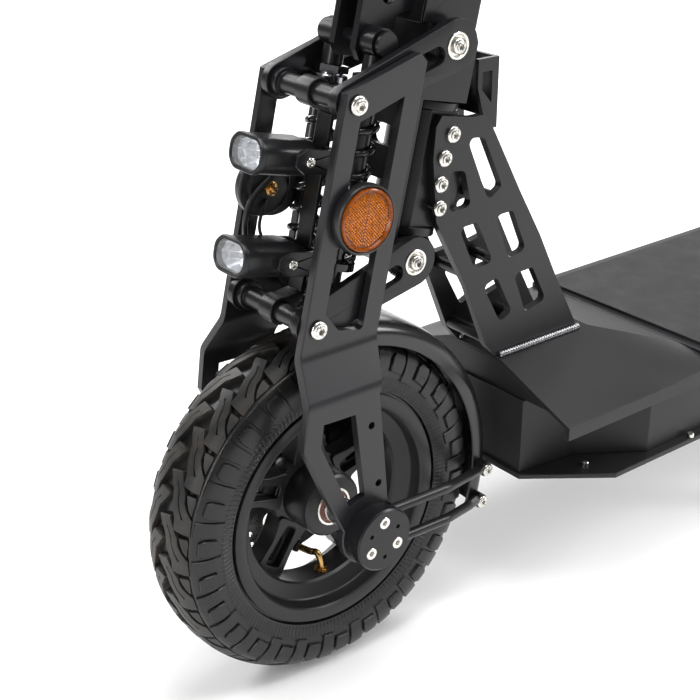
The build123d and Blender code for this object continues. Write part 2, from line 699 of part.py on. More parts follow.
with BuildPart() as shock_rods:
    for side in (1, -1):
        middle = side * shock_y
        shaft(raked_plane, shock_f, shock_bottom_h, 9.5, middle + eye_half, middle - eye_half)
        with BuildSketch(raked_level(shock_f, spring_bottom_h - 5, middle)) as perch:
            Circle(perch_radius)
        extrude(perch.sketch, amount=5)
        with BuildSketch(raked_level(shock_f, shock_bottom_h + 7, middle)) as rod:
            Circle(4.2)
        extrude(rod.sketch, amount=250 - shock_bottom_h - 7)
        drill(raked_plane, shock_f, shock_bottom_h, pin_radius + open_pivot_gap, middle + eye_half,
              middle - eye_half)
shock_rods.part.label = "shock_rods"
export_step(shock_rods.part, "parts/shock_rods.step")

with BuildPart() as shock_springs:
    for side in (1, -1):
        start = raked_level(shock_f, spring_bottom_h + spring_wire + 0.2, side * shock_y)
        coil_height = spring_top_h - spring_bottom_h - 2 * spring_wire - 0.4
        coil_radius = spring_outer - spring_wire
        coil = start * Helix(pitch=coil_height / 9, height=coil_height, radius=coil_radius, mode=Mode.PRIVATE)
        with BuildSketch(Plane(origin=coil @ 0, z_dir=coil % 0)) as wire:
            Circle(spring_wire)
        sweep(wire.sketch, path=coil, is_frenet=True)
shock_springs.part.label = "shock_springs"
export_step(shock_springs.part, "parts/shock_springs.step")

# =====================================================================================
# Folding stem and handlebar
# =====================================================================================

fold_f = -34.0
fold_h = 372.0
fold_pin_radius = 6.0
tongue_half = 16.0
cheek_inner = 16.4
base_top_h = 392.0
stem_bottom_h = 396.0

with BuildPart() as fold_base:
    outline_plate(raked_plane, bracket_half, -bracket_half,
                  ((-44, crown_top_h), (base_front_f, crown_top_h), (base_front_f, base_top_h),
                   (-40, base_top_h), (-44, 386)))
    outline_plate(raked_plane, cheek_inner, -cheek_inner,
                  ((-60, 350), (base_front_f - 6, 350), (base_front_f - 6, 400), (-60, 400)), mode=Mode.SUBTRACT)
    drill(raked_plane, fold_f, fold_h, fold_pin_radius, bracket_half, -bracket_half)
    outer_edges = fold_base.faces().sort_by(Axis.Y)[0].outer_wire().edges()
    outer_edges += fold_base.faces().sort_by(Axis.Y)[-1].outer_wire().edges()
    chamfer(outer_edges, 1.0)
fold_base.part.label = "fold_base"
export_step(fold_base.part, "parts/fold_base.step")

stem_half = 22.0
stem_front_f = 3.0
stem_back_f = -43.0

with BuildPart() as stem_tube:
    with BuildSketch(raked_level((stem_front_f + stem_back_f) / 2, stem_bottom_h)) as box:
        RectangleRounded(stem_front_f - stem_back_f, 2 * stem_half, 9)
        RectangleRounded(stem_front_f - stem_back_f - 8, 2 * stem_half - 8, 6, mode=Mode.SUBTRACT)
    extrude(box.sketch, amount=stem_top_h - stem_bottom_h)
    with BuildSketch(raked_level((stem_front_f + stem_back_f) / 2, stem_bottom_h)) as foot:
        RectangleRounded(stem_front_f - stem_back_f, 2 * stem_half, 9)
    extrude(foot.sketch, amount=8)
    outline_plate(raked_plane, tongue_half, -tongue_half,
                  ((-42.5, stem_bottom_h + 2), (-42.5, 366), (-37, 358), (-24, 356), (-4, 372),
                   (-4, stem_bottom_h + 2)))
    drill(raked_plane, fold_f, fold_h, fold_pin_radius, tongue_half, -tongue_half)
stem_tube.part.label = "stem_tube"
export_step(stem_tube.part, "parts/stem_tube.step")

latch_f = -20.0
latch_h = 424.0
latch_face_y = stem_half + 0.2

with BuildPart() as fold_latch:
    outline_plate(raked_plane, latch_face_y + 9, latch_face_y + 2.4,
                  ((-28, 424), (-27, 430), (-20, 434), (-13, 430), (-11, 420), (-10, 372), (-13, 362), (-19, 362),
                   (-20, 372), (-26, 412)))
    shaft(raked_plane, latch_f, latch_h, 6, latch_face_y + 2.4, latch_face_y)
fold_latch.part.label = "fold_latch"
export_step(fold_latch.part, "parts/fold_latch.step")

bar_radius = 15.9
bar_h = stem_top_h + 24
bar_f = stem_f
bar_x, _, bar_z = raked_point(bar_f, bar_h)
grip_length = 118.0

with BuildPart() as bar_clamps:
    with BuildSketch(raked_plane(26)) as clamp:
        with Locations((bar_f, bar_h)):
            Circle(23)
        with Locations((bar_f, stem_top_h + 4)):
            Rectangle(46, 8)
        make_hull()
        with Locations((bar_f, bar_h)):
            Circle(bar_radius, mode=Mode.SUBTRACT)
    extrude(clamp.sketch, amount=52)
    for side in (1, -1):
        ring_y = side * 162.0 + 8
        shaft(side_plane, bar_x, bar_z, bar_radius + 5, ring_y, ring_y - 16)
        outline_plate(side_plane, ring_y - 2, ring_y - 14,
                      ((bar_x + 4, bar_z - 14), (bar_x + 34, bar_z - 16), (bar_x + 38, bar_z - 12),
                       (bar_x + 38, bar_z + 1), (bar_x + 34, bar_z + 5), (bar_x + 4, bar_z + 14)))
        drill(side_plane, bar_x, bar_z, bar_radius, ring_y, ring_y - 16)
        with Locations((bar_x + 40, ring_y - 8, bar_z - 6)):
            Box(36, 18, 8.6, mode=Mode.SUBTRACT)
        with Locations((bar_x + 31, ring_y - 8, bar_z - 6)):
            Cylinder(2.5, 18)
bar_clamps.part.label = "bar_clamps"
export_step(bar_clamps.part, "parts/bar_clamps.step")

with BuildPart() as handlebar:
    shaft(side_plane, bar_x, bar_z, bar_radius, bar_half - 4, -bar_half + 4)
    drill(side_plane, bar_x, bar_z, bar_radius - 2.4, bar_half, -bar_half)
handlebar.part.label = "handlebar"
export_step(handlebar.part, "parts/handlebar.step")

with BuildPart() as handlebar_grips:
    for side in (1, -1):
        inner = side * (bar_half - grip_length)
        outer = side * bar_half
        shaft(side_plane, bar_x, bar_z, bar_radius + 3.5, max(inner, outer), min(inner, outer))
        flange = inner + side * 4
        shaft(side_plane, bar_x, bar_z, bar_radius + 7, max(inner, flange), min(inner, flange))
        tip = side * (bar_half - 4)
        drill(side_plane, bar_x, bar_z, bar_radius, max(inner, tip), min(inner, tip))
handlebar_grips.part.label = "handlebar_grips"
export_step(handlebar_grips.part, "parts/handlebar_grips.step")

lever_pivot_x = bar_x + 31
lever_pivot_z = bar_z - 6


def brake_lever(side):
    """One brake lever, hinged in front of the bar and reaching outwards along it."""
    hub_y = side * 162.0
    with BuildPart() as lever:
        with BuildSketch(Plane.XY.offset(lever_pivot_z - 4)):
            with BuildLine():
                Polyline(
                    (lever_pivot_x - 4, hub_y - side * 5), (lever_pivot_x + 12, hub_y - side * 8),
                    (lever_pivot_x + 20, hub_y + side * 12), (lever_pivot_x + 16, hub_y + side * 60),
                    (lever_pivot_x + 24, hub_y + side * 108), (lever_pivot_x + 32, hub_y + side * 116),
                    (lever_pivot_x + 22, hub_y + side * 118), (lever_pivot_x + 8, hub_y + side * 62),
                    (lever_pivot_x + 8, hub_y + side * 12), (lever_pivot_x - 4, hub_y + side * 5), close=True,
                )
            make_face()
            with Locations((lever_pivot_x, hub_y)):
                Circle(2.6, mode=Mode.SUBTRACT)
        extrude(amount=8)
    return lever


brake_lever_left = brake_lever(1)
brake_lever_left.part.label = "brake_lever_left"
export_step(brake_lever_left.part, "parts/brake_lever_left.step")

brake_lever_right = brake_lever(-1)
brake_lever_right.part.label = "brake_lever_right"
export_step(brake_lever_right.part, "parts/brake_lever_right.step")

throttle_y = -128.0
display_y = -96.0

with BuildPart() as bar_controls:
    for middle_y, depth in ((throttle_y, 12), (display_y, 30), (128.0, 26)):
        shaft(side_plane, bar_x, bar_z, bar_radius + 5, middle_y + depth / 2, middle_y - depth / 2)
        drill(side_plane, bar_x, bar_z, bar_radius, middle_y + depth / 2, middle_y - depth / 2)
    with Locations((bar_x + 2, display_y, bar_z + 27)):
        Box(62, 44, 14)
    with Locations((bar_x + 2, 128, bar_z + 22)):
        Box(30, 26, 12)
    with Locations((bar_x + 2, 128, bar_z + 25.5)):
        Cylinder(6.3, 5.2, mode=Mode.SUBTRACT)
    drill(side_plane, bar_x, bar_z, bar_radius, 200, -200)
bar_controls.part.label = "bar_controls"
export_step(bar_controls.part, "parts/bar_controls.step")

with BuildPart() as throttle_lever:
    with BuildSketch(side_plane(throttle_y - 6.5)):
        with Locations((bar_x, bar_z)):
            Circle(bar_radius + 4)
        with Locations((bar_x - 26, bar_z - 14)):
            Circle(5)
        make_hull()
        with Locations((bar_x, bar_z)):
            Circle(bar_radius + 0.1, mode=Mode.SUBTRACT)
    extrude(amount=9)
throttle_lever.part.label = "throttle_lever"
export_step(throttle_lever.part, "parts/throttle_lever.step")

with BuildPart() as horn_button:
    with Locations((bar_x + 2, 128, bar_z + 28)):
        Cylinder(6, 5)
horn_button.part.label = "horn_button"
export_step(horn_button.part, "parts/horn_button.step")

# =====================================================================================
# Neck: head tube, side plates, cross members
# =====================================================================================

neck_inner_y = neck_face_y - plate_thickness

with BuildPart() as head_tube:
    with BuildSketch(raked_level(steering_f, head_bottom_h)) as ring:
        Circle(23)
    extrude(ring.sketch, amount=head_top_h - head_bottom_h)
    outline_plate(raked_plane, neck_inner_y, -neck_inner_y,
                  ((steering_f, 206), (steering_f, 274), (-56, 274), (-62, 268), (-62, 212), (-56, 206)))
    for outer, inner in ((40, neck_inner_y), (-neck_inner_y, -40)):
        outline_plate(raked_plane, outer, inner,
                      ((-80, 190), (-23, 190), (-23, 290), (-80, 290)), mode=Mode.SUBTRACT)
    with BuildSketch(raked_level(steering_f, head_bottom_h)) as bore:
        Circle(steerer_radius + 2.5)
    extrude(bore.sketch, amount=head_top_h - head_bottom_h, mode=Mode.SUBTRACT)
head_tube.part.label = "head_tube"
export_step(head_tube.part, "parts/head_tube.step")

with BuildPart() as headset_bearings:
    for cup_bottom in (head_bottom_h - cup_height, head_top_h):
        with BuildSketch(raked_level(steering_f, cup_bottom)) as cup:
            Circle(22)
            Circle(steerer_radius + running_gap, mode=Mode.SUBTRACT)
        extrude(cup.sketch, amount=cup_height)
headset_bearings.part.label = "headset_bearings"
export_step(headset_bearings.part, "parts/headset_bearings.step")


def neck_point(x, z):
    """A neck plate point given behind and above the front axle's ground point."""
    return (front_x + x, z)


neck_top_corner = (-130.9, 385)
neck_outline = (
    (-139, 212), (-150, ridge_z), (-236, ridge_z), (-208, 250), (-189, 286), (-166, 324), (-147, 357),
    neck_top_corner, (-118, 385), (-90, 390.5), (-85, 384), (-83, 362), (-87, 318), (-95, 303), (-118, 262),
)
neck_windows = (
    ((-113, 371.5), (-129, 369), (-148, 331), (-135, 323)),
    ((-143, 310), (-160, 310.5), (-175, 278), (-158, 275)),
    ((-164, 261), (-183, 262), (-199, 233), (-178, 228)),
    ((-108.5, 308.5), (-125.5, 309), (-142.5, 276), (-124.5, 275)),
    ((-134, 259), (-147, 263), (-164, 232), (-152, 227)),
    ((-98.5, 351), (-112, 349), (-119, 322.5), (-99, 322)),
)
neck_bolt_points = ((-99.7, 376.5), (-92.7, 361.4), (-89.8, 344.0), (-89.1, 327.4))

with BuildPart() as neck_plates:
    for outer in (neck_face_y, -neck_inner_y):
        outline_plate(side_plane, outer, outer - plate_thickness, [neck_point(*p) for p in neck_outline])
    for window in neck_windows:
        with BuildLine() as window_line:
            Polyline(*[neck_point(*p) for p in window], close=True)
        with BuildSketch(side_plane(60)) as opening:
            make_face(window_line.line)
            fillet(opening.vertices(), 4)
        extrude(opening.sketch, amount=120, mode=Mode.SUBTRACT)
    for x, z in neck_bolt_points:
        drill(side_plane, front_x + x, z, 3, neck_face_y, -neck_face_y)
    corner_x, corner_z = front_x + neck_top_corner[0], neck_top_corner[1]
    across = neck_plates.edges().filter_by(Axis.Y)
    fillet(across.filter_by(lambda e: hypot(e.center().X - corner_x, e.center().Z - corner_z) < 0.5), 12)
neck_plates.part.label = "neck_plates"
export_step(neck_plates.part, "parts/neck_plates.step")

with BuildPart() as neck_crossmembers:
    for x, z in ((-152, 318), (-163, 268), (-128, 268), (-143, 216), (-190, 214)):
        shaft(side_plane, front_x + x, z, 5, neck_inner_y, -neck_inner_y)
    outline_plate(side_plane, neck_inner_y - 0.2, 0.2 - neck_inner_y,
                  [neck_point(*p) for p in ((-143, 378), (-143, 421), (-146, 421), (-146, 378))])
    for outer in (neck_inner_y - 0.2, 3.2 - neck_inner_y):
        outline_plate(side_plane, outer, outer - 3,
                      [neck_point(*p) for p in ((-127, 421), (-146, 421), (-146, 372), (-136, 372), (-127, 402))])
        outline_plate(side_plane, outer, outer - 3,
                      [neck_point(*p) for p in ((-131, 412), (-140, 412), (-140, 390), (-131, 400))],
                      mode=Mode.SUBTRACT)
neck_crossmembers.part.label = "neck_crossmembers"
export_step(neck_crossmembers.part, "parts/neck_crossmembers.step")

# =====================================================================================
# Deck
# =====================================================================================

nose_back_x = nose_x - 165.0
nose_slope_x = nose_x - 95.0
deck_sheet = 6.0
body_wall = 4.0
bottom_sheet = 4.0
body_top_z = deck_top_z - deck_sheet


def roof(half_ridge, ridge, half, shoulder, foot):
    """The deck nose's roof-shaped outline across the scooter, drawn in the open YZ sketch."""
    with BuildLine() as outline:
        Polyline(
            (-half, foot), (-half, shoulder), (-half_ridge, ridge), (half_ridge, ridge), (half, shoulder),
            (half, foot), close=True,
        )
    make_face(outline.line)


with BuildPart() as deck_nose:
    with BuildSketch(Plane.YZ.offset(nose_slope_x)) as front_outer:
        roof(26, ridge_z, deck_half, 171, 161)
    extrude(front_outer.sketch, amount=nose_x - nose_slope_x)
    with BuildSketch(Plane.YZ.offset(nose_back_x)) as back_outer:
        roof(60, deck_top_z, deck_half, 174, 161)
    loft(sections=[back_outer.sketch, front_outer.sketch], ruled=True)
    with BuildSketch(Plane.YZ.offset(nose_slope_x)) as front_inner:
        roof(25, ridge_z - 4, deck_half - 4, 169.3, 161)
    extrude(front_inner.sketch, amount=nose_x - nose_slope_x, mode=Mode.SUBTRACT)
    with BuildSketch(Plane.YZ.offset(nose_back_x)) as back_inner:
        roof(59, deck_top_z - 4, deck_half - 4, 172.3, 161)
    loft(sections=[back_inner.sketch, front_inner.sketch], ruled=True, mode=Mode.SUBTRACT)
    with BuildSketch(Plane.YZ.offset(nose_x - 10)) as gable:
        with BuildLine() as gable_line:
            Polyline(
                (-86, body_top_z + 0.2), (-25, ridge_z - 3.9), (25, ridge_z - 3.9), (86, body_top_z + 0.2),
                close=True,
            )
        make_face()
    extrude(gable.sketch, amount=4)
deck_nose.part.label = "deck_nose"
export_step(deck_nose.part, "parts/deck_nose.step")


def tray_outline(inset, back_inset):
    """Plan of the battery tray, inset all round, drawn in the open XY sketch."""
    front_half = 50 - inset
    half = body_half - inset
    front = nose_x - 4 - inset
    back = tail_x + back_inset
    with BuildLine() as outline:
        Polyline(
            (front, -front_half), (front, front_half), (front - 52, front_half + 5), (front - 100, half),
            (back, half), (back, -half), (front - 100, -half), (front - 52, -front_half - 5), close=True,
        )
    make_face(outline.line)


with BuildPart() as deck_body:
    with BuildSketch(Plane.XY.offset(deck_bottom_z + bottom_sheet)) as outside:
        tray_outline(0, 10)
    extrude(outside.sketch, amount=body_top_z - deck_bottom_z - bottom_sheet)
    with BuildSketch(Plane.XY.offset(deck_bottom_z + bottom_sheet)) as inside:
        tray_outline(body_wall, 10 + body_wall)
    extrude(inside.sketch, amount=body_top_z - deck_bottom_z - bottom_sheet, mode=Mode.SUBTRACT)
deck_body.part.label = "deck_body"
export_step(deck_body.part, "parts/deck_body.step")

with BuildPart() as deck_bottom_plate:
    with BuildSketch(Plane.XY.offset(deck_bottom_z)) as floor_plate:
        with BuildLine() as floor_line:
            Polyline(
                (nose_x - 2, -52), (nose_x - 2, 52), (nose_x - 60, 96), (tail_x + 8, 96), (tail_x + 8, -96),
                (nose_x - 60, -96), close=True,
            )
        make_face()
    extrude(floor_plate.sketch, amount=bottom_sheet)
deck_bottom_plate.part.label = "deck_bottom_plate"
export_step(deck_bottom_plate.part, "parts/deck_bottom_plate.step")

with BuildPart() as deck_top_plate:
    with BuildSketch(Plane.XY.offset(body_top_z)) as top_plate:
        with Locations(((nose_back_x + tail_x) / 2, 0)):
            Rectangle(nose_back_x - tail_x, 2 * deck_half)
        fillet(top_plate.vertices().sort_by(Axis.X)[:2], 22)
    extrude(top_plate.sketch, amount=deck_sheet)
deck_top_plate.part.label = "deck_top_plate"
export_step(deck_top_plate.part, "parts/deck_top_plate.step")

mat_thickness = 2.5

with BuildPart() as grip_mat:
    with BuildSketch(Plane.XY.offset(deck_top_z)) as mat:
        with Locations(((nose_back_x + tail_x) / 2, 0)):
            RectangleRounded(nose_back_x - tail_x - 16, 2 * deck_half - 20, 18)
    extrude(mat.sketch, amount=mat_thickness)
grip_mat.part.label = "grip_mat"
export_step(grip_mat.part, "parts/grip_mat.step")

pack_length = 280.0
inside_floor_z = deck_bottom_z + bottom_sheet

with BuildPart() as battery_pack:
    with Locations((nose_back_x - 100, 0, inside_floor_z + 25)):
        Box(pack_length, 150, 50)
battery_pack.part.label = "battery_pack"
export_step(battery_pack.part, "parts/battery_pack.step")

with BuildPart() as motor_controller:
    with Locations((tail_x + 68, 0, inside_floor_z + 22)):
        Box(90, 84, 44)
motor_controller.part.label = "motor_controller"
export_step(motor_controller.part, "parts/motor_controller.step")

bottom_screw_points = (
    (nose_x - 52, 72), (nose_x - 150, 93), (nose_x - 300, 93), (nose_x - 450, 93),
)

stand_x = nose_x - 330.0
stand_z = 122.0
stand_y = body_half + 15.5

with BuildPart() as frame_bolts:
    for x, z in neck_bolt_points:
        for face_y in (neck_face_y, -neck_face_y):
            socket_screw(side_plane, front_x + x, z, face_y, plate_thickness, radius=3, head=5.6, rise=3.4)
    for x, y in bottom_screw_points:
        for screw_y in (y, -y):
            with Locations((x, screw_y, inside_floor_z + 1.5)):
                Cylinder(2.9, 3)
    shaft(side_plane, swing_x, swing_pivot_z, 7, 60, -60)
    for cap_y in (64, -60):
        shaft(side_plane, swing_x, swing_pivot_z, 12, cap_y, cap_y - 4)
    shaft(side_plane, stand_x, stand_z, pin_radius, stand_y + 7.6, body_half)
    shaft(side_plane, stand_x, stand_z, 8, stand_y + 10.6, stand_y + 7.6)
frame_bolts.part.label = "frame_bolts"
export_step(frame_bolts.part, "parts/frame_bolts.step")

# =====================================================================================
# Kickstand
# =====================================================================================

with BuildPart() as kickstand:
    shaft(side_plane, stand_x, stand_z, 9, stand_y + 6, stand_y - 6)
    with BuildLine() as stand_line:
        stand_path = FilletPolyline(
            (stand_x, stand_y, stand_z), (stand_x + 8, stand_y + 2, stand_z - 30),
            (stand_x + 22, stand_y + 34, 6), radius=20,
        )
    with BuildSketch(Plane(origin=stand_path @ 0, z_dir=stand_path % 0)) as stand_round:
        Circle(6.5)
    sweep(stand_round.sketch, path=stand_line.line)
    with Locations((stand_x + 22, stand_y + 34, 5)):
        Cylinder(14, 10)
    drill(side_plane, stand_x, stand_z, pin_radius + running_gap, stand_y + 8, stand_y - 7)
kickstand.part.label = "kickstand"
export_step(kickstand.part, "parts/kickstand.step")

# =====================================================================================
# Rear suspension and wheel
# =====================================================================================

arm_inner = 48.0
arm_outer = 58.0
rear_eye_x = rear_x + 65.0
rear_eye_z = 140.0
top_eye_x = rear_x + 181.0
top_eye_z = 200.0
rear_shock_y = 70.0
tail_inner = 40.0
tail_outer = 46.0

with BuildPart() as tail_bracket:
    with Locations((tail_x + 7, 0, (deck_bottom_z + body_top_z) / 2 + 1)):
        Box(6, 2 * body_half, 58)
    for outer in (tail_outer, -tail_inner):
        outline_plate(side_plane, outer, outer - 6,
                      ((tail_x + 4, 114), (tail_x + 4, 171), (tail_x - 1, 171), (tail_x - 1, 178), (top_eye_x - 36, 226),
                       (top_eye_x - 36, 214), (top_eye_x - 12, 190), (swing_x + 2, 165), (swing_x - 14, 152),
                       (swing_x - 14, 138), (swing_x, 130), (tail_x - 12, 114)))
    with BuildLine() as step_line:
        Polyline((tail_x - 1, 178), (top_eye_x - 36, 226), (top_eye_x - 39, 229.5), (tail_x - 1, 183), close=True)
    with BuildSketch(side_plane(62)) as step:
        make_face(step_line.line)
    extrude(step.sketch, amount=124)
    drill(side_plane, swing_x, swing_pivot_z, 7, tail_outer, -tail_outer)
    shaft(side_plane, top_eye_x, top_eye_z, pin_radius, 79, -79)
    for cap_y in (82, -79):
        shaft(side_plane, top_eye_x, top_eye_z, 8, cap_y, cap_y - 3)
tail_bracket.part.label = "tail_bracket"
export_step(tail_bracket.part, "parts/tail_bracket.step")

axle_flat_radius = 8.0

with BuildPart() as swingarm:
    for outer in (arm_outer, -arm_inner):
        with BuildSketch(side_plane(outer)) as blade:
            with Locations((swing_x, swing_pivot_z)):
                Circle(17)
            with Locations((rear_x, axle_z)):
                Circle(21)
            make_hull()
            with Locations(((swing_x + rear_x) / 2, (swing_pivot_z + axle_z) / 2)):
                SlotOverall(90, 16, rotation=5, mode=Mode.SUBTRACT)
        extrude(blade.sketch, amount=arm_outer - arm_inner)
    shaft(side_plane, swing_x - 43, swing_pivot_z - 4, 10, arm_inner, -arm_inner)
    with Locations((swing_x - 57, 0, 146)):
        Box(16, 30, 22)
    for outer, inner in ((79, arm_outer), (-arm_outer, -79)):
        shaft(side_plane, rear_eye_x, rear_eye_z, pin_radius, outer, inner)
    drill(side_plane, swing_x, swing_pivot_z, 7 + running_gap, arm_outer, -arm_outer)
    drill(side_plane, rear_x, axle_z, axle_flat_radius, arm_outer, -arm_outer)
swingarm.part.label = "swingarm"
export_step(swingarm.part, "parts/swingarm.step")

with BuildPart() as rear_tyre:
    with BuildSketch(wheel_section(rear_x)):
        tyre_profile()
    revolve(axis=rear_axis)
rear_tyre.part.label = "rear_tyre"
export_step(rear_tyre.part, "parts/rear_tyre.step")

motor_inner_radius = 58.0
motor_half = 33.0

with BuildPart() as rear_hub_motor:
    with BuildSketch(wheel_section(rear_x)) as motor_section:
        with BuildLine() as motor_line:
            Polyline(
                (0, 78), (14.5, 78), (17.5, rim_radius), (23.5, rim_radius), (24.5, rim_lip), (rim_half, rim_lip),
                (rim_half, 76), (motor_half - 4, 68), (motor_half, 60), (motor_half, 20), (motor_half + 5, 16),
                (motor_half + 5, axle_flat_radius + running_gap), (motor_half - 5, axle_flat_radius + running_gap),
                (motor_half - 5, motor_inner_radius), (0, motor_inner_radius), close=True,
            )
        make_face()
        mirror(about=Plane.YZ)
    revolve(axis=rear_axis)
rear_hub_motor.part.label = "rear_hub_motor"
export_step(rear_hub_motor.part, "parts/rear_hub_motor.step")

with BuildPart() as motor_stator:
    shaft(side_plane, rear_x, axle_z, 50, 20, -20)
    shaft(side_plane, rear_x, axle_z, axle_flat_radius, 66, -66)
motor_stator.part.label = "motor_stator"
export_step(motor_stator.part, "parts/motor_stator.step")

rear_mudguard = guard_part(rear_x, 38, 134)
rear_mudguard.part.label = "rear_mudguard"
export_step(rear_mudguard.part, "parts/rear_mudguard.step")

tail_light_turn = 50.0          # above straight back

with BuildPart() as tail_light:
    out_x = -cos(radians(tail_light_turn))
    out_z = sin(radians(tail_light_turn))
    reach = guard_radius + guard_thickness + 0.1
    lamp_seat = Plane(origin=(rear_x + out_x * reach, 0, axle_z + out_z * reach), x_dir=(0, 1, 0),
                      z_dir=(out_x, 0, out_z))
    with BuildSketch(lamp_seat) as lamp_foot:
        RectangleRounded(48, 20, 6)
    extrude(lamp_foot.sketch, amount=9)
tail_light.part.label = "tail_light"
export_step(tail_light.part, "parts/tail_light.step")

rear_run = hypot(top_eye_x - rear_eye_x, top_eye_z - rear_eye_z)
rear_dir = ((top_eye_x - rear_eye_x) / rear_run, 0, (top_eye_z - rear_eye_z) / rear_run)


def rear_shock_plane(distance, side):
    """A plane square to a rear shock, a distance along it from its lower eye."""
    return Plane(
        origin=(rear_eye_x + rear_dir[0] * distance, side * rear_shock_y, rear_eye_z + rear_dir[2] * distance),
        x_dir=(0, 1, 0), z_dir=rear_dir,
    )


rear_spring_bottom = 24.0
rear_spring_top = rear_run - 22.0

with BuildPart() as rear_shock_bodies:
    for side in (1, -1):
        middle = side * rear_shock_y
        shaft(side_plane, top_eye_x, top_eye_z, 10, middle + eye_half, middle - eye_half)
        with BuildSketch(rear_shock_plane(rear_spring_top, side)) as perch:
            Circle(perch_radius)
        extrude(perch.sketch, amount=5)
        with BuildSketch(rear_shock_plane(66, side)) as barrel:
            Circle(6.5)
        extrude(barrel.sketch, amount=rear_run - 66 - 8)
        drill(side_plane, top_eye_x, top_eye_z, pin_radius + running_gap, middle + eye_half, middle - eye_half)
        with BuildSketch(rear_shock_plane(66, side)) as bore:
            Circle(4.3)
        extrude(bore.sketch, amount=rear_run - 66 - 20, mode=Mode.SUBTRACT)
rear_shock_bodies.part.label = "rear_shock_bodies"
export_step(rear_shock_bodies.part, "parts/rear_shock_bodies.step")

with BuildPart() as rear_shock_rods:
    for side in (1, -1):
        middle = side * rear_shock_y
        shaft(side_plane, rear_eye_x, rear_eye_z, 10, middle + eye_half, middle - eye_half)
        with BuildSketch(rear_shock_plane(rear_spring_bottom - 5, side)) as perch:
            Circle(perch_radius)
        extrude(perch.sketch, amount=5)
        with BuildSketch(rear_shock_plane(8, side)) as rod:
            Circle(4.2)
        extrude(rod.sketch, amount=80)
        drill(side_plane, rear_eye_x, rear_eye_z, pin_radius + open_pivot_gap, middle + eye_half,
              middle - eye_half)
rear_shock_rods.part.label = "rear_shock_rods"
export_step(rear_shock_rods.part, "parts/rear_shock_rods.step")

with BuildPart() as rear_shock_springs:
    for side in (1, -1):
        start = rear_shock_plane(rear_spring_bottom + spring_wire + 0.2, side)
        coil_height = rear_spring_top - rear_spring_bottom - 2 * spring_wire - 0.4
        coil = start * Helix(pitch=coil_height / 7, height=coil_height, radius=spring_outer - spring_wire,
                             mode=Mode.PRIVATE)
        with BuildSketch(Plane(origin=coil @ 0, z_dir=coil % 0)) as wire:
            Circle(spring_wire)
        sweep(wire.sketch, path=coil, is_frenet=True)
rear_shock_springs.part.label = "rear_shock_springs"
export_step(rear_shock_springs.part, "parts/rear_shock_springs.step")
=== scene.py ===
import math

import bmesh
import bpy
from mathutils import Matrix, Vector


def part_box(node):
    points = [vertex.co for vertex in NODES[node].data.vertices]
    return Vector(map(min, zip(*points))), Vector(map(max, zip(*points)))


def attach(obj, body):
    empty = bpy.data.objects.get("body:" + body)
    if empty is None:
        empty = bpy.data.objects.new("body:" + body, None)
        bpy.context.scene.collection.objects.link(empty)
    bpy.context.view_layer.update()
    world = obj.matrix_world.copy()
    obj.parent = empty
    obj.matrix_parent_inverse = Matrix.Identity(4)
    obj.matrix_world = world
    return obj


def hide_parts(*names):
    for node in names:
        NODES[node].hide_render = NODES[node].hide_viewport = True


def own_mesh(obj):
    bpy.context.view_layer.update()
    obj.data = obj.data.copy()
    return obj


# Electric kick scooter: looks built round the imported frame. Metres, +X forward, +Y left, +Z up.

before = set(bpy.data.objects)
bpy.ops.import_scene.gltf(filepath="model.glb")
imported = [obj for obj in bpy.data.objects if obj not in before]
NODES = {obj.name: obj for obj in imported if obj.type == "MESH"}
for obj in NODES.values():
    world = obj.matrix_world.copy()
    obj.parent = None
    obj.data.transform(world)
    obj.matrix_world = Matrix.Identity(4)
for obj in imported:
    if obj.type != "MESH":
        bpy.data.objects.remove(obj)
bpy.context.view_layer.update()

# ---------------------------------------------------------------- driving dimensions

# Places are as in the CAD model. F is mm ahead of the front axle and H is mm above it, in the fork's raked
# directions. Profiles further down are lists of (along, radius) points in mm.
MM = 0.001
RAKE = math.radians(13)
FRONT_PIVOT_F = 63
FRONT_PIVOTS_H = (282, 140)
REAR_PIVOT_F = -16
REAR_PIVOTS_H = (323.5, 181.5)
SHOCK_F = 35
SHOCK_Y = 20
REFLECTOR_F, REFLECTOR_H = 45, 213
REFLECTOR_FACE = 51.2           # where the prisms stand, mm from the middle
HORN_F, HORN_H = 65, 214
LAMP_EAR_F = 72
LAMPS_H = (241, 175.5)
LAMP_WIDTH, LAMP_HEIGHT = 34, 23
# Screws of the mudguard's stays, as x and z from the front axle.
STAY_TIPS = ((-129.0, -8.0), (-125.0, -33.5))
# Neck bolts, as x from the front axle and z from the ground.
NECK_BOLTS = ((-99.7, 376.5), (-92.7, 361.4), (-89.8, 344.0), (-89.1, 327.4))
# Screws in the deck's underside, as mm back from the nose's tip and y.
DECK_SCREWS = ((52, 72), (150, 93), (300, 93), (450, 93))
# Rear pivots and shocks, in metres from the origin, which is on the ground midway between the axles.
SWING_PIVOT = (-0.262, 0, 0.145)
STAND_PIVOT = (-0.015, 0, 0.122)
REAR_SHOCK_TOP = Vector((-0.284, 0, 0.2))
REAR_SHOCK_FOOT = Vector((-0.400, 0, 0.140))
REAR_SHOCK_Y = 0.07


def span(node):
    """Centre and size of a CAD node's box."""
    low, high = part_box(node)
    return (low + high) / 2, high - low


front_axle, tyre_size = span("front_tyre")
rear_axle, _ = span("rear_tyre")
TYRE_R = tyre_size.z / 2
AHEAD = Vector((math.cos(RAKE), 0, math.sin(RAKE)))
ALONG = Vector((-math.sin(RAKE), 0, math.cos(RAKE)))
LEFT = Vector((0, 1, 0))


def raked(f, h, y=0.0):
    """A point f mm ahead of and h mm above the front axle in the fork's raked directions, at y mm."""
    return front_axle + AHEAD * (f * MM) + ALONG * (h * MM) + LEFT * (y * MM)


# ---------------------------------------------------------------- camera and light

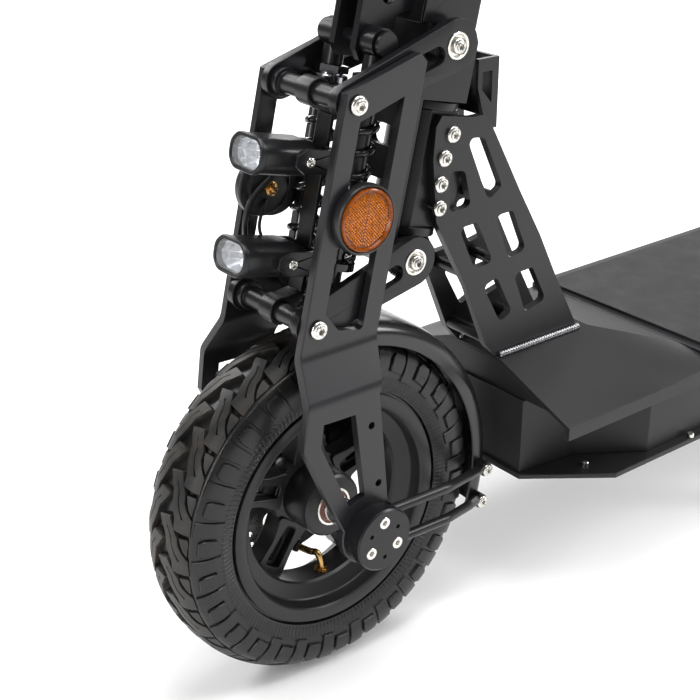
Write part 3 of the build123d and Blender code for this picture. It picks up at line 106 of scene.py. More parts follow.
def look_at(obj, target):
    obj.rotation_mode = "QUATERNION"
    obj.rotation_quaternion = (Vector(target) - obj.location).to_track_quat("-Z", "Y")


LENS = 72.25
CAMERA_PLACE = (0.9825, 0.6867, 0.6355)
CAMERA_AIM = (0.4331, 0.0, 0.23039)
camera_data = bpy.data.cameras.new("camera")
camera_data.lens = LENS
camera_data.sensor_width = 36.0
camera = bpy.data.objects.new("camera", camera_data)
camera.location = CAMERA_PLACE
look_at(camera, CAMERA_AIM)
bpy.context.scene.collection.objects.link(camera)
bpy.context.scene.camera = camera


def area_light(name, place, target, size, watts):
    data = bpy.data.lights.new(name, "AREA")
    data.shape = "RECTANGLE"
    data.size, data.size_y = size
    data.energy = watts
    lamp = bpy.data.objects.new(name, data)
    lamp.location = place
    look_at(lamp, target)
    bpy.context.scene.collection.objects.link(lamp)


# name, place, what it points at, size and watts
LIGHTS = (
    ("overhead", (0.0, 0.2, 2.6), (0.35, 0, 0.3), (2.4, 1.6), 78),
    ("back_strip", (-1.4, -1.8, 0.85), (0.4, 0, 0.35), (2.2, 0.5), 13),
    ("rear_strip", (-1.5, 1.3, 1.7), (0.35, 0, 0.3), (0.5, 1.6), 42),
    ("far_rim", (0.5, -2.1, 1.5), (0.35, 0, 0.4), (1.8, 0.5), 40),
    ("front_strip", (2.6, 0.5, 1.1), (0.4, 0, 0.25), (0.35, 1.6), 22),
)
for light in LIGHTS:
    area_light(*light)


def backdrop_world():
    """White where the camera sees past the floor, and dimmer as a source of light."""
    as_light, as_seen = 0.22, 1.0
    world = bpy.data.worlds.new("studio")
    world.use_nodes = True
    tree = world.node_tree
    background = tree.nodes["Background"]
    background.inputs["Color"].default_value = (1, 1, 1, 1)
    seen = tree.nodes.new("ShaderNodeLightPath")
    level = tree.nodes.new("ShaderNodeMapRange")
    level.inputs["To Min"].default_value = as_light
    level.inputs["To Max"].default_value = as_seen
    tree.links.new(seen.outputs["Is Camera Ray"], level.inputs["Value"])
    tree.links.new(level.outputs["Result"], background.inputs["Strength"])
    bpy.context.scene.world = world


backdrop_world()
bpy.context.scene.view_settings.view_transform = "Standard"


# ---------------------------------------------------------------- node helpers

class Shader:
    """A material under construction: nodes by type, and links by (node, output) pairs."""

    def __init__(self, name):
        self.material = bpy.data.materials.new(name)
        self.material.use_nodes = True
        self.tree = self.material.node_tree
        self.main = self.tree.nodes["Principled BSDF"]
        self.place = self.tree.nodes.new("ShaderNodeTexCoord").outputs["Object"]

    def node(self, kind, **values):
        made = self.tree.nodes.new(kind)
        for key, value in values.items():
            if key in made.inputs:
                self.feed(made.inputs[key], value)
            else:
                setattr(made, key, value)
        return made

    def feed(self, socket, value):
        if isinstance(value, bpy.types.NodeSocket):
            self.tree.links.new(value, socket)
        else:
            socket.default_value = value

    def set(self, **values):
        for key, value in values.items():
            self.feed(self.main.inputs[key.replace("_", " ")], value)

    def noise(self, scale, detail=3.0, rough=0.55, place=None):
        made = self.node("ShaderNodeTexNoise", Scale=scale, Detail=detail, Roughness=rough)
        self.feed(made.inputs["Vector"], place or self.place)
        return made.outputs["Fac"]

    def cells(self, scale, feature="F1", output="Distance"):
        made = self.node("ShaderNodeTexVoronoi", Scale=scale)
        made.feature = feature
        self.feed(made.inputs["Vector"], self.place)
        return made.outputs[output]

    def ramp(self, value, low, high, start=0.0, end=1.0):
        """Maps value from start..end to low..high; colours or numbers."""
        if isinstance(low, tuple):
            made = self.node("ShaderNodeValToRGB", Fac=value)
            made.color_ramp.elements[0].position = start
            made.color_ramp.elements[1].position = end
            made.color_ramp.elements[0].color = (*low, 1)
            made.color_ramp.elements[1].color = (*high, 1)
            return made.outputs["Color"]
        made = self.node("ShaderNodeMapRange")
        self.feed(made.inputs["Value"], value)
        made.inputs["From Min"].default_value = start
        made.inputs["From Max"].default_value = end
        made.inputs["To Min"].default_value = low
        made.inputs["To Max"].default_value = high
        return made.outputs["Result"]

    def math(self, what, a, b=0.0):
        made = self.node("ShaderNodeMath", operation=what)
        self.feed(made.inputs[0], a)
        self.feed(made.inputs[1], b)
        return made.outputs[0]

    def mix(self, share, a, b):
        made = self.node("ShaderNodeMixRGB", Fac=share, Color1=a, Color2=b)
        return made.outputs["Color"]

    def bump(self, height, distance, strength=1.0, under=None):
        made = self.node("ShaderNodeBump", Height=height, Distance=distance, Strength=strength)
        if under is not None:
            self.feed(made.inputs["Normal"], under)
        return made.outputs["Normal"]


def powder_coat(name, base, rough=0.42, grain=1300, depth=0.00004, shine=0.34):
    """Satin powder coat: fine orange peel, slight cloudiness and polish variation."""
    s = Shader(name)
    cloud = s.noise(9, 4)
    peel = s.noise(grain, 2, 0.5)
    dust = s.noise(260, 5, 0.6)
    light = tuple(min(1, c * 1.35 + 0.002) for c in base)
    colour = s.mix(s.ramp(dust, 0.0, 0.5, 0.55, 0.8), s.ramp(cloud, base, light, 0.3, 0.75), (*light, 1))
    s.set(Base_Color=colour, Roughness=s.ramp(cloud, rough - 0.05, rough + 0.06, 0.3, 0.7),
          Specular_IOR_Level=shine, Normal=s.bump(peel, depth, 0.6))
    return s.material


def polished_steel(name, base, rough=0.2, turn=700):
    """Stainless or zinc-plated hardware: fine turning marks and small tarnish spots."""
    s = Shader(name)
    marks = s.noise(turn, 2, 0.6)
    spots = s.noise(90, 5, 0.65)
    dark = tuple(c * 0.62 for c in base)
    s.set(Base_Color=s.ramp(spots, dark, base, 0.28, 0.5), Metallic=1.0,
          Roughness=s.ramp(marks, rough - 0.06, rough + 0.1, 0.3, 0.7), Normal=s.bump(marks, 0.00002, 0.4))
    return s.material


RIB_BAND = (0.0895, 0.0915, 0.0975, 0.1)        # radii where the sidewall's ribs start, are full and end
RIB_TURNS = 180.0


def rubber(name, base, rough, dusty, hub=None):
    """Moulded rubber: speckled, brownish bloom, leathery bump, and fine radial ribs if there is a hub."""
    s = Shader(name)
    bloom = s.noise(38, 6, 0.62)
    grain = s.noise(1500, 3, 0.6)
    skin = s.cells(620)
    colour = s.mix(s.ramp(bloom, 0.0, 0.55, 0.45, 0.72), (*base, 1), (*dusty, 1))
    fine = s.bump(grain, 0.00006, 0.6)
    if hub is not None:
        where = s.node("ShaderNodeSeparateXYZ")
        s.feed(where.inputs[0], s.place)
        across = s.math("SUBTRACT", where.outputs[0], hub.x)
        above = s.math("SUBTRACT", where.outputs[2], hub.z)
        turn = s.math("ARCTAN2", above, across)
        reach = s.math("SQRT", s.math("ADD", s.math("POWER", across, 2.0), s.math("POWER", above, 2.0)))
        starts = s.ramp(reach, 0.0, 1.0, *RIB_BAND[:2])
        ends = s.ramp(reach, 1.0, 0.0, *RIB_BAND[2:])
        band = s.math("MULTIPLY", starts, ends)
        wave = s.math("SINE", s.math("MULTIPLY", turn, RIB_TURNS))
        ribs = s.math("MULTIPLY", s.ramp(wave, 0.0, 1.0, -0.3, 0.5), band)
        fine = s.bump(ribs, 0.0005, 0.8, under=fine)
    s.set(Base_Color=colour, Roughness=s.ramp(bloom, rough - 0.08, rough + 0.1, 0.3, 0.7),
          Specular_IOR_Level=0.38, Normal=s.bump(skin, 0.00008, 0.4, under=fine))
    return s.material


def moulded(name, base, rough, grain_depth=0.00006, grain=900):
    """Injection-moulded plastic: spark-eroded grain and faint flow clouds."""
    s = Shader(name)
    flow = s.noise(14, 3)
    grain_height = s.cells(grain)
    light = tuple(min(1, c * 1.4 + 0.004) for c in base)
    s.set(Base_Color=s.ramp(flow, base, light, 0.3, 0.75),
          Roughness=s.ramp(flow, rough - 0.04, rough + 0.05, 0.3, 0.7),
          Normal=s.bump(grain_height, grain_depth, 0.5))
    return s.material


def clear_glass(name):
    """Clear lens: mostly see-through, with a faint haze and a glossy face."""
    s = Shader(name)
    ripple = s.noise(240, 2)
    s.set(Base_Color=s.ramp(ripple, (0.88, 0.92, 0.95), (0.97, 0.98, 1.0), 0.3, 0.7), IOR=1.5,
          Roughness=s.ramp(ripple, 0.03, 0.08, 0.3, 0.7), Alpha=s.ramp(ripple, 0.07, 0.14, 0.3, 0.7))
    return s.material


def lamp_mirror(name):
    """Bright vapour-coated reflector: metal with a pale diffuse bloom."""
    s = Shader(name)
    haze = s.noise(180, 3)
    s.set(Base_Color=s.ramp(haze, (0.86, 0.88, 0.92), (0.97, 0.98, 1.0), 0.3, 0.7), Metallic=0.82,
          Roughness=s.ramp(haze, 0.10, 0.2, 0.3, 0.7))
    return s.material


def amber_lens(name, base):
    """Coloured reflex plastic: clear and deep in places, glossy on the face."""
    s = Shader(name)
    depth = s.noise(420, 3)
    deep = tuple(c * 0.55 for c in base)
    s.set(Base_Color=s.ramp(depth, deep, base, 0.35, 0.62), Roughness=s.ramp(depth, 0.14, 0.26, 0.3, 0.7),
          IOR=1.49, Specular_IOR_Level=0.3, Coat_Weight=0.06, Coat_Roughness=0.06)
    return s.material


TYRE_BASE, TYRE_DUST = (0.0080, 0.0078, 0.0078), (0.016, 0.0145, 0.0135)
REAR_TYRE_BASE = (0.0085, 0.0082, 0.0082)

MATERIALS = {
    "alloy": powder_coat("black_powder_coat", (0.0055, 0.0055, 0.0065), 0.30),
    "fork": powder_coat("fork_powder_coat", (0.0085, 0.008, 0.0095), 0.30, shine=0.46),
    "neck": powder_coat("neck_powder_coat", (0.009, 0.009, 0.0098), 0.34),
    "rim": powder_coat("rim_powder_coat", (0.012, 0.012, 0.013), 0.33),
    "deck": powder_coat("deck_powder_coat", (0.010, 0.010, 0.011), 0.46, grain=900, depth=0.0001),
    "steel": polished_steel("stainless_steel", (0.72, 0.70, 0.66)),
    "disc": polished_steel("ground_disc_steel", (0.42, 0.42, 0.43), 0.3),
    "tyre": rubber("tyre_rubber", TYRE_BASE, 0.30, TYRE_DUST, front_axle),
    "rear_tyre": rubber("rear_tyre_rubber", REAR_TYRE_BASE, 0.36, TYRE_DUST, rear_axle),
    "tread": rubber("tread_rubber", (0.012, 0.0115, 0.011), 0.46, (0.072, 0.058, 0.046)),
    "grip": rubber("grip_rubber", (0.010, 0.010, 0.011), 0.6, (0.02, 0.02, 0.022)),
    "gloss": moulded("glossy_mudguard", (0.006, 0.006, 0.0065), 0.22, 0.00001, 300),
    "plastic": moulded("grained_plastic", (0.008, 0.008, 0.009), 0.36),
    "spring": moulded("spring_lacquer", (0.011, 0.011, 0.012), 0.1, 0.00001, 400),
    "hose": moulded("hose_rubber", (0.012, 0.012, 0.012), 0.4),
    "lamp": powder_coat("lamp_anodised", (0.0075, 0.0075, 0.0085), 0.27, grain=2200, depth=0.00002),
    "seal": moulded("bearing_seal", (0.16, 0.045, 0.03), 0.5),
    "brass": polished_steel("valve_brass", (0.62, 0.38, 0.14), 0.25),
    "mirror": lamp_mirror("lamp_mirror"),
    "weld": polished_steel("weld_bead", (0.30, 0.30, 0.31), 0.26),
    "chrome": polished_steel("dark_chrome", (0.34, 0.34, 0.36), 0.14),
    "glass": clear_glass("lamp_glass"),
    "amber": amber_lens("amber_reflector", (0.62, 0.185, 0.002)),
    "amber_deep": amber_lens("amber_body", (0.26, 0.055, 0.001)),
    "red": amber_lens("tail_lens", (0.6, 0.012, 0.01)),
}

# A CAD node that isn't named here is powder-coated alloy.
CAD_LOOK = {
    "fork_leg_left": "fork", "fork_leg_right": "fork", "neck_plates": "neck", "front_rim": "rim",
    "rear_hub_motor": "rim", "front_brake_disc": "disc", "fork_fasteners": "steel",
    "rear_pivot_bolts": "steel", "frame_bolts": "steel", "front_hub_bearings": "steel",
    "shock_rods": "spring", "rear_shock_rods": "spring", "motor_stator": "disc",
    "front_tyre": "tyre", "rear_tyre": "tyre", "handlebar_grips": "grip", "grip_mat": "grip",
    "front_mudguard": "gloss", "rear_mudguard": "gloss", "bar_controls": "plastic",
    "throttle_lever": "plastic", "horn": "plastic", "horn_button": "plastic",
    "motor_controller": "plastic", "battery_pack": "plastic", "shock_springs": "spring",
    "rear_shock_springs": "spring", "deck_nose": "deck", "deck_body": "deck",
    "deck_bottom_plate": "deck", "deck_top_plate": "deck", "brake_hose": "hose", "tail_light": "red",
}
NO_BEVEL = {"brake_hose", "shock_springs", "rear_shock_springs", "front_tyre", "rear_tyre", "mudguard_stays"}
PLATES = {"fork_leg_left", "fork_leg_right", "upper_arms", "lower_arms", "neck_plates", "shock_tower",
          "steering_bracket", "fold_base"}
EDGE, PLATE_EDGE, NOSE_EDGE = 0.0006, 0.0011, 0.0016        # bevel widths
SHARP_ANGLE = math.radians(28)


def edge_width(node):
    if node in NO_BEVEL:
        return 0.0
    if node in PLATES:
        return PLATE_EDGE
    return NOSE_EDGE if node == "deck_nose" else EDGE


def dress(obj, look, bevel):
    """Gives obj its material and, if bevel isn't 0, rounded edges with even shading."""
    obj.data.materials.clear()
    obj.data.materials.append(MATERIALS[look])
    if bevel:
        weld = obj.modifiers.new("weld", "WELD")
        weld.merge_threshold = 0.00001
        edge = obj.modifiers.new("edges", "BEVEL")
        edge.width = bevel
        edge.segments = 2
        edge.limit_method = "ANGLE"
        edge.angle_limit = SHARP_ANGLE
        edge.use_clamp_overlap = True
        shading = obj.modifiers.new("shading", "WEIGHTED_NORMAL")
        shading.mode = "FACE_AREA_WITH_ANGLE"
        shading.weight = 100
        shading.thresh = 0.001
    for face in obj.data.polygons:
        face.use_smooth = True


for node_name, node_object in NODES.items():
    dress(node_object, CAD_LOOK.get(node_name, "alloy"), edge_width(node_name))


# ---------------------------------------------------------------- mesh helpers

def add_piece(name, mesh, look, body, *replaced, slot):
    """Makes an object from a bmesh, puts it on a body and hides the CAD nodes that it replaces."""
    data = bpy.data.meshes.new(name)
    mesh.to_mesh(data)
    mesh.free()
    for face in data.polygons:
        face.use_smooth = True
    piece = bpy.data.objects.new(name, data)
    bpy.context.scene.collection.objects.link(piece)
    data.materials.append(MATERIALS[look])
    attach(piece, body)
    if replaced:
        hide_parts(*replaced)
    return piece


def finished(mesh):
    bmesh.ops.recalc_face_normals(mesh, faces=mesh.faces)
    return mesh


def sharpen(piece, angle=35):
    """Splits the shading at edges sharper than angle."""
    data = piece.data
    data.set_sharp_from_angle(angle=math.radians(angle))


def wheel_point(centre, angle, radius, y):
    return Vector((centre.x + radius * math.cos(angle), centre.y + y, centre.z + radius * math.sin(angle)))


def lathe(mesh, centre, profile, steps):
    """Revolves a closed line of (y, radius) points in mm about the wheel axis through centre."""
    rings = []
    for i in range(steps):
        angle = 2 * math.pi * i / steps
        rings.append([mesh.verts.new(wheel_point(centre, angle, r * MM, y * MM)) for y, r in profile])
    count = len(profile)
    for i in range(steps):
        here, there = rings[i], rings[(i + 1) % steps]
        for k in range(count):
            a, b = k, (k + 1) % count
            mesh.faces.new((here[a], here[b], there[b], there[a]))


def curve_through(points, steps):
    """A smooth line through the points, steps points per span."""
    out = []
    count = len(points)
    for i in range(count - 1):
        p0 = Vector(points[max(0, i - 1)])
        p1, p2 = Vector(points[i]), Vector(points[i + 1])
        p3 = Vector(points[min(count - 1, i + 2)])
        for k in range(steps):
            t = k / steps
            a = 2 * p1
            b = (p2 - p0) * t
            c = (2 * p0 - 5 * p1 + 4 * p2 - p3) * t * t
            d = (3 * p1 - p0 - 3 * p2 + p3) * t ** 3
            out.append((a + b + c + d) / 2)
    out.append(Vector(points[-1]))
    return out


# ---------------------------------------------------------------- tyres

# The tyre's outer line runs over distance t in mm from the crown, and the tread over s in mm round the crown.
TREAD_COUNT = 26
GROOVE = 4.6
SHOULDER_START, SHOULDER = 20.0, 27.0           # between these the grooves run out
BEAD_RIDGES = (46.5, 49.5, 52.5)
tyre_side = [(0, 127.4), (9, 126.9), (17, 125.0), (23, 121.2), (27, 115.5), (28.9, 108), (29.0, 100.5),
             (28.0, 93.5), (26.6, 88.6)]
tyre_line = curve_through([(y, r, 0) for y, r in tyre_side], 10)
tyre_length = [0.0]
for a, b in zip(tyre_line, tyre_line[1:]):
    tyre_length.append(tyre_length[-1] + (b - a).length)


def on_tyre(t):
    """The tyre's outer line at distance t mm from the crown: (y, radius, normal y, normal radius)."""
    side = -1 if t < 0 else 1
    t = min(abs(t), tyre_length[-1] - 0.01)
    k = 0
    while tyre_length[k + 1] < t:
        k += 1
    share = (t - tyre_length[k]) / (tyre_length[k + 1] - tyre_length[k])
    p = tyre_line[k].lerp(tyre_line[k + 1], share)
    low, high = max(0, k - 2), min(len(tyre_line) - 1, k + 3)
    d = (tyre_line[high] - tyre_line[low]).normalized()
    return side * p.x, p.y, side * -d.y, d.x


def groove_depth(t):
    """How far the carcass lies under the tread's tops."""
    share = min(1.0, max(0.0, (abs(t) - SHOULDER_START) / (SHOULDER - SHOULDER_START)))
    return GROOVE * (1 - share * share * (3 - 2 * share))


def tread_point(centre, t, s, lift):
    """A point t mm across, s mm round the crown and lift mm above the tyre's outer line."""
    y, r, ny, nr = on_tyre(t)
    return wheel_point(centre, s / TYRE_R * MM, (r + nr * lift) * MM, (y + ny * lift) * MM)


def strip_cells(pairs, start, end, low=0.0, high=1.0):
    """Quads of a strip between two rails of (t, s) points, from pair start to pair end, low..high across."""
    cells = []
    for (a, b), (c, d) in zip(pairs[start:end], pairs[start + 1:end + 1]):
        a, b, c, d = (Vector(p) for p in (a, b, c, d))
        cells.append((a.lerp(b, low), a.lerp(b, high), c.lerp(d, high), c.lerp(d, low)))
    return cells


Z_BLOCK = [((25.2, -7.0), (12.6, -5.4)), ((24.6, 4.4), (12.0, 2.2)), ((20.0, 9.8), (9.2, 7.6)),
           ((16.8, 15.0), (6.9, 13.8)), ((15.8, 20.4), (5.2, 20.8)), ((11.2, 27.2), (1.2, 25.6)),
           ((7.6, 33.0), (-2.4, 31.0))]
z_cells = (strip_cells(Z_BLOCK, 0, 1) + strip_cells(Z_BLOCK, 1, 5, 0.0, 0.44)
           + strip_cells(Z_BLOCK, 1, 5, 0.56, 1.0) + strip_cells(Z_BLOCK, 5, 6))
D_LUG = [((31.5, 19.5), (31.0, 10.5)), ((34.5, 21.0), (34.0, 8.5)), ((39.0, 21.0), (38.5, 8.0)),
         ((43.5, 20.5), (43.0, 8.5))]
d_cells = strip_cells(D_LUG, 0, 3)
SHOULDER_BAND = [((27.5, -7.5), (27.5, 4.5)), ((34.0, -7.0), (34.0, 4.5)), ((41.0, -6.5), (41.0, 4.5)),
                 ((48.0, -6.0), (48.0, 4.5))]
band_cells = strip_cells(SHOULDER_BAND, 0, 3)
SIPE_BAR = [((24.0, 7.5), (21.0, 11.5)), ((24.5, 18.0), (18.5, 17.0)), ((23.8, 20.5), (17.5, 20.5))]
bar_cells = strip_cells(SIPE_BAR, 0, 2)


def tread_block(mesh, centre, cells, side, shift, lift, wall, splits):
    """One raised block: its top follows the tyre, its edge is chamfered and its wall goes down by wall."""
    flat = bmesh.new()
    for cell in cells:
        grid = []
        for i in range(splits + 1):
            left = cell[0].lerp(cell[3], i / splits)
            right = cell[1].lerp(cell[2], i / splits)
            grid.append([flat.verts.new((*left.lerp(right, k / splits), 0)) for k in range(splits + 1)])
        for i in range(splits):
            for k in range(splits):
                flat.faces.new((grid[i][k], grid[i][k + 1], grid[i + 1][k + 1], grid[i + 1][k]))
    bmesh.ops.remove_doubles(flat, verts=flat.verts, dist=0.03)
    outward = {}
    rim_edges = [e for e in flat.edges if len(e.link_faces) == 1]
    for edge in rim_edges:
        middle = (edge.verts[0].co + edge.verts[1].co) / 2
        away = middle - edge.link_faces[0].calc_center_median()
        along = (edge.verts[1].co - edge.verts[0].co).normalized()
        normal = (away - along * away.dot(along)).normalized()
        for v in edge.verts:
            outward[v] = outward.get(v, Vector((0, 0, 0))) + normal
    made = {}

    def put(v, spread, level):
        key = (v, level)
        if key not in made:
            p = v.co.copy()
            if spread:
                out = outward[v]
                p += out.normalized() * spread
            t = side * p.x
            made[key] = mesh.verts.new(tread_point(centre, t, p.y + shift, level))
        return made[key]

    for face in flat.faces:
        corners = [put(v, 0, lift) for v in face.verts]
        mesh.faces.new(corners if side > 0 else corners[::-1])
    levels = ((0.0, lift), (0.35, lift - 0.35), (0.75, lift - wall))
    for edge in rim_edges:
        a, b = edge.verts
        for (s1, l1), (s2, l2) in zip(levels, levels[1:]):
            mesh.faces.new((put(a, s1, l1), put(b, s1, l1), put(b, s2, l2), put(a, s2, l2)))
    flat.free()


def tyre(name, centre, look, body, node):
    """The carcass with its shoulder lugs, and the raised centre blocks as a piece of their own."""
    steps = 64
    mesh = bmesh.new()
    outer = []
    for i in range(steps + 1):
        t = -tyre_length[-1] + 2 * tyre_length[-1] * i / steps
        y, r, ny, nr = on_tyre(t)
        ridge = max(0.6 - abs(abs(t) - place) * 0.45 for place in BEAD_RIDGES)
        lift = max(0.0, ridge) - groove_depth(t)
        outer.append((y + ny * lift, r + nr * lift))
    inner = [(23.6, 88.0), (23.4, 81.6), (17.6, 81.6), (23.0, 106), (15, 116.5), (0, 119)]
    profile = outer + inner + [(-y, r) for y, r in inner[-2::-1]]
    lathe(mesh, centre, profile, 208)
    blocks = bmesh.new()
    pitch = 2 * math.pi * TYRE_R / MM / TREAD_COUNT
    for i in range(TREAD_COUNT):
        for side, shift in ((1, i * pitch), (-1, (i + 0.5) * pitch)):
            tread_block(blocks, centre, z_cells, side, shift, lift=0.0, wall=GROOVE + 0.4, splits=3)
            tread_block(blocks, centre, bar_cells, side, shift, lift=-0.6, wall=3.6, splits=2)
            tread_block(mesh, centre, d_cells, side, shift, lift=2.0, wall=2.3, splits=3)
            tread_block(mesh, centre, band_cells, side, shift, lift=1.5, wall=1.8, splits=3)
    carcass = add_piece(name + "_carcass", finished(mesh), look, body, node, slot="tyre")
    sharpen(carcass, 40)
    raised = add_piece(name + "_blocks", finished(blocks), "tread", body, slot="tyre")
    sharpen(raised, 40)


tyre("front_tyre", front_axle, "tyre", "front_wheel", "front_tyre")
tyre("rear_tyre", rear_axle, "rear_tyre", "rear_wheel", "rear_tyre")


# ---------------------------------------------------------------- turned parts and screws

def hex_radius(angle, flat):
    """Distance from a hexagon's centre to its side at angle, for a distance flat to the middle of a side."""
    turn = (angle + math.pi / 6) % (math.pi / 3) - math.pi / 6
    return flat / math.cos(turn)


def turned(mesh, origin, axis, profile, steps=36):
    """Revolves (along, radius) or (along, flat, "hex") points in mm about axis through origin."""
    axis = Vector(axis).normalized()
    u = axis.orthogonal().normalized()
    v = axis.cross(u)
    rings = []
    for item in profile:
        along, radius = item[0], item[1]
        centre = Vector(origin) + axis * (along * MM)
        if radius == 0:
            rings.append([mesh.verts.new(centre)])
            continue
        ring = []
        for i in range(steps):
            angle = 2 * math.pi * i / steps
            r = hex_radius(angle, radius) if len(item) > 2 else radius
            ring.append(mesh.verts.new(centre + (u * math.cos(angle) + v * math.sin(angle)) * (r * MM)))
        rings.append(ring)
    for a, b in zip(rings, rings[1:]):
        for i in range(steps):
            k = (i + 1) % steps
            if len(a) == 1:
                mesh.faces.new((a[0], b[k], b[i]))
            elif len(b) == 1:
                mesh.faces.new((a[i], a[k], b[0]))
            else:
                mesh.faces.new((a[i], a[k], b[k], b[i]))


def button_head(top, radius, socket=0.36):
    """Profile of a button head whose crown is at top mm, from the socket's floor out to the rim."""
    rise = radius * 0.5
    return [(top - rise * 0.75, 0), (top - rise * 0.75, radius * socket * 0.97, "hex"),
            (top - 0.15, radius * socket, "hex"), (top, radius * socket * 1.28),
            (top - rise * 0.1, radius * 0.60), (top - rise * 0.32, radius * 0.64),
            (top - rise * 0.30, radius * 0.70), (top - rise * 0.38, radius * 0.84),
            (top - rise * 0.55, radius * 0.95), (top - rise * 0.75, radius), (top - rise, radius)]


def both_ends(head, shank):
    """Mirrors a head profile onto the far end of a shank given as (along, radius) points."""
    far = [(-item[0], *item[1:]) for item in reversed(head)]
    return head + shank + far


AXLE = [(60, 0), (60, 6), (56.2, 6), (56.2, 10), (21.5, 10), (21.5, 6), (-34, 6), (-34, 10), (-56.2, 10),
        (-56.2, 6), (-60, 6), (-60, 0)]
CAP_SCREW = [(75.0, 0), (75.0, 1.7, "hex"), (77.3, 1.75, "hex"), (77.45, 2.3), (77.45, 4.0), (77.1, 4.35),
             (74.6, 4.3), (74.6, 2.3), (69.8, 2.3), (69.8, 0)]
CAP_SCREW_CIRCLE = 0.013
PIVOT_BOLT = both_ends(button_head(49.2, 6.4), [(45.3, 4.9), (-45.3, 4.9)])
STAY_SCREW = button_head(43.6, 4.7) + [(40.25, 4.6), (40.2, 2.4), (28.2, 2.4), (28.2, 0)]
LAMP_SCREW = button_head(22.9, 3.3) + [(20.05, 3.2), (17.1, 2.4), (17.1, 0)]


def fork_hardware():
    """Pivot bolts, the axle, and the screws of the axle caps, stays and lamps."""
    mesh = bmesh.new()
    for h in FRONT_PIVOTS_H:
        turned(mesh, raked(FRONT_PIVOT_F, h), LEFT, PIVOT_BOLT)
    turned(mesh, front_axle, LEFT, AXLE)
    for side in (1, -1):
        for turn in (90, 210, 330):
            place = wheel_point(front_axle, math.radians(turn), CAP_SCREW_CIRCLE, 0)
            turned(mesh, place, LEFT * side, CAP_SCREW)
        for x, z in STAY_TIPS:
            place = front_axle + Vector((x, 0, z)) * MM
            turned(mesh, place, LEFT * side, STAY_SCREW)
        for h in LAMPS_H:
            turned(mesh, raked(LAMP_EAR_F, h), LEFT * side, LAMP_SCREW)
    piece = add_piece("fork_screws", finished(mesh), "steel", "fork", "fork_fasteners", slot="steel")
    sharpen(piece)


def pivot_hardware():
    """The two arm pivots at the steering bracket: a screw in a flanged bush on each side."""
    bush = [(37.2, 6.8), (38.8, 6.9), (39.3, 7.4), (39.3, 8.6), (39.0, 8.95), (24.7, 8.95), (24.7, 4.95)]
    head = button_head(42.2, 5.2) + [(38.6, 5.2), (37.2, 5.3)]
    mesh = bmesh.new()
    for h in REAR_PIVOTS_H:
        turned(mesh, raked(REAR_PIVOT_F, h), LEFT, both_ends(head + bush, []))
    piece = add_piece("arm_pivot_bolts", finished(mesh), "steel", "steering", "rear_pivot_bolts",
                      slot="steel")
    sharpen(piece)


NECK_BOLT = button_head(27.6, 5.9) + [(24.05, 5.8), (24.0, 2.9), (18, 2.9), (18, 0)]
DECK_SCREW = [(112.1, 0), (112.1, 2.8), (114.4, 2.8), (115.0, 2.3), (115.0, 1.45, "hex"), (113.6, 1.4, "hex"),
              (113.6, 0)]
SWING_BOLT = both_ends(button_head(65.5, 11.5), [(60.2, 11.5), (60.0, 7), (-60.0, 7), (-60.2, 11.5)])
STAND_BOLT = button_head(114.6, 7.8) + [(111.2, 7.8), (111.1, 5), (88.05, 5), (88.05, 0)]


def frame_hardware():
    """Neck bolts, the screws in the deck's underside, and the swingarm and kickstand bolts."""
    mesh = bmesh.new()
    for x, z in NECK_BOLTS:
        for side in (1, -1):
            place = front_axle + Vector((x, 0, z - front_axle.z / MM)) * MM
            turned(mesh, place, LEFT * side, NECK_BOLT)
    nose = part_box("deck_nose")[1].x
    for back, y in DECK_SCREWS:
        for side in (1, -1):
            turned(mesh, (nose - back * MM, side * y * MM, 0), (0, 0, 1), DECK_SCREW)
    turned(mesh, SWING_PIVOT, LEFT, SWING_BOLT)
    turned(mesh, STAND_PIVOT, LEFT, STAND_BOLT)
    piece = add_piece("frame_screws", finished(mesh), "steel", "frame", "frame_bolts", slot="steel")
    sharpen(piece)


fork_hardware()
pivot_hardware()
frame_hardware()


# ---------------------------------------------------------------- plates cut from outlines

def rounded(points, radius, steps=5):
    """The closed outline with each corner rounded, as 2D vectors."""
    out = []
    count = len(points)
    for i in range(count):
        p = Vector(points[i])
        a = (Vector(points[i - 1]) - p)
        b = (Vector(points[(i + 1) % count]) - p)
        reach = min(radius, a.length * 0.48, b.length * 0.48)
        start, end = p + a.normalized() * reach, p + b.normalized() * reach
        for k in range(steps + 1):
            t = k / steps
            out.append(start * (1 - t) ** 2 + p * 2 * t * (1 - t) + end * t * t)
    return out


def cut_plate(mesh, loops, place):
    """A plate from loops of 2D points, holes last; place(point, 0 or 1) puts them on its two faces."""
    sides = ([], [])
    for loop in loops:
        for level in (0, 1):
            verts = [mesh.verts.new(place(p, level)) for p in loop]
            ring = [mesh.edges.new((verts[i], verts[(i + 1) % len(verts)])) for i in range(len(verts))]
            sides[level].append((verts, ring))
    for level in (0, 1):
        edges = [e for _, ring in sides[level] for e in ring]
        bmesh.ops.triangle_fill(mesh, use_beauty=True, use_dissolve=True, edges=edges)
    for (low, _), (high, _) in zip(*sides):
        for i in range(len(low)):
            k = (i + 1) % len(low)
            mesh.faces.new((low[i], low[k], high[k], high[i]))


def soften(piece, width):
    """Rounds the piece's sharp edges."""
    edge = piece.modifiers.new("edges", "BEVEL")
    edge.width = width
    edge.segments = 2
    edge.limit_method = "ANGLE"
    edge.angle_limit = math.radians(30)
    edge.harden_normals = True


# ---------------------------------------------------------------- rims

SPOKES = 5
SPOKE_TURN = 18                 # degrees from forward to the first spoke
HUB = [(21, 14.1), (21, 21.5), (19.5, 23.2), (16, 24), (-5, 24), (-7, 30), (-18, 30), (-21, 24.5), (-29, 24),
       (-31, 22.5), (-31, 14.1), (-20, 14.1), (-20, 11), (10, 11), (10, 14.1)]


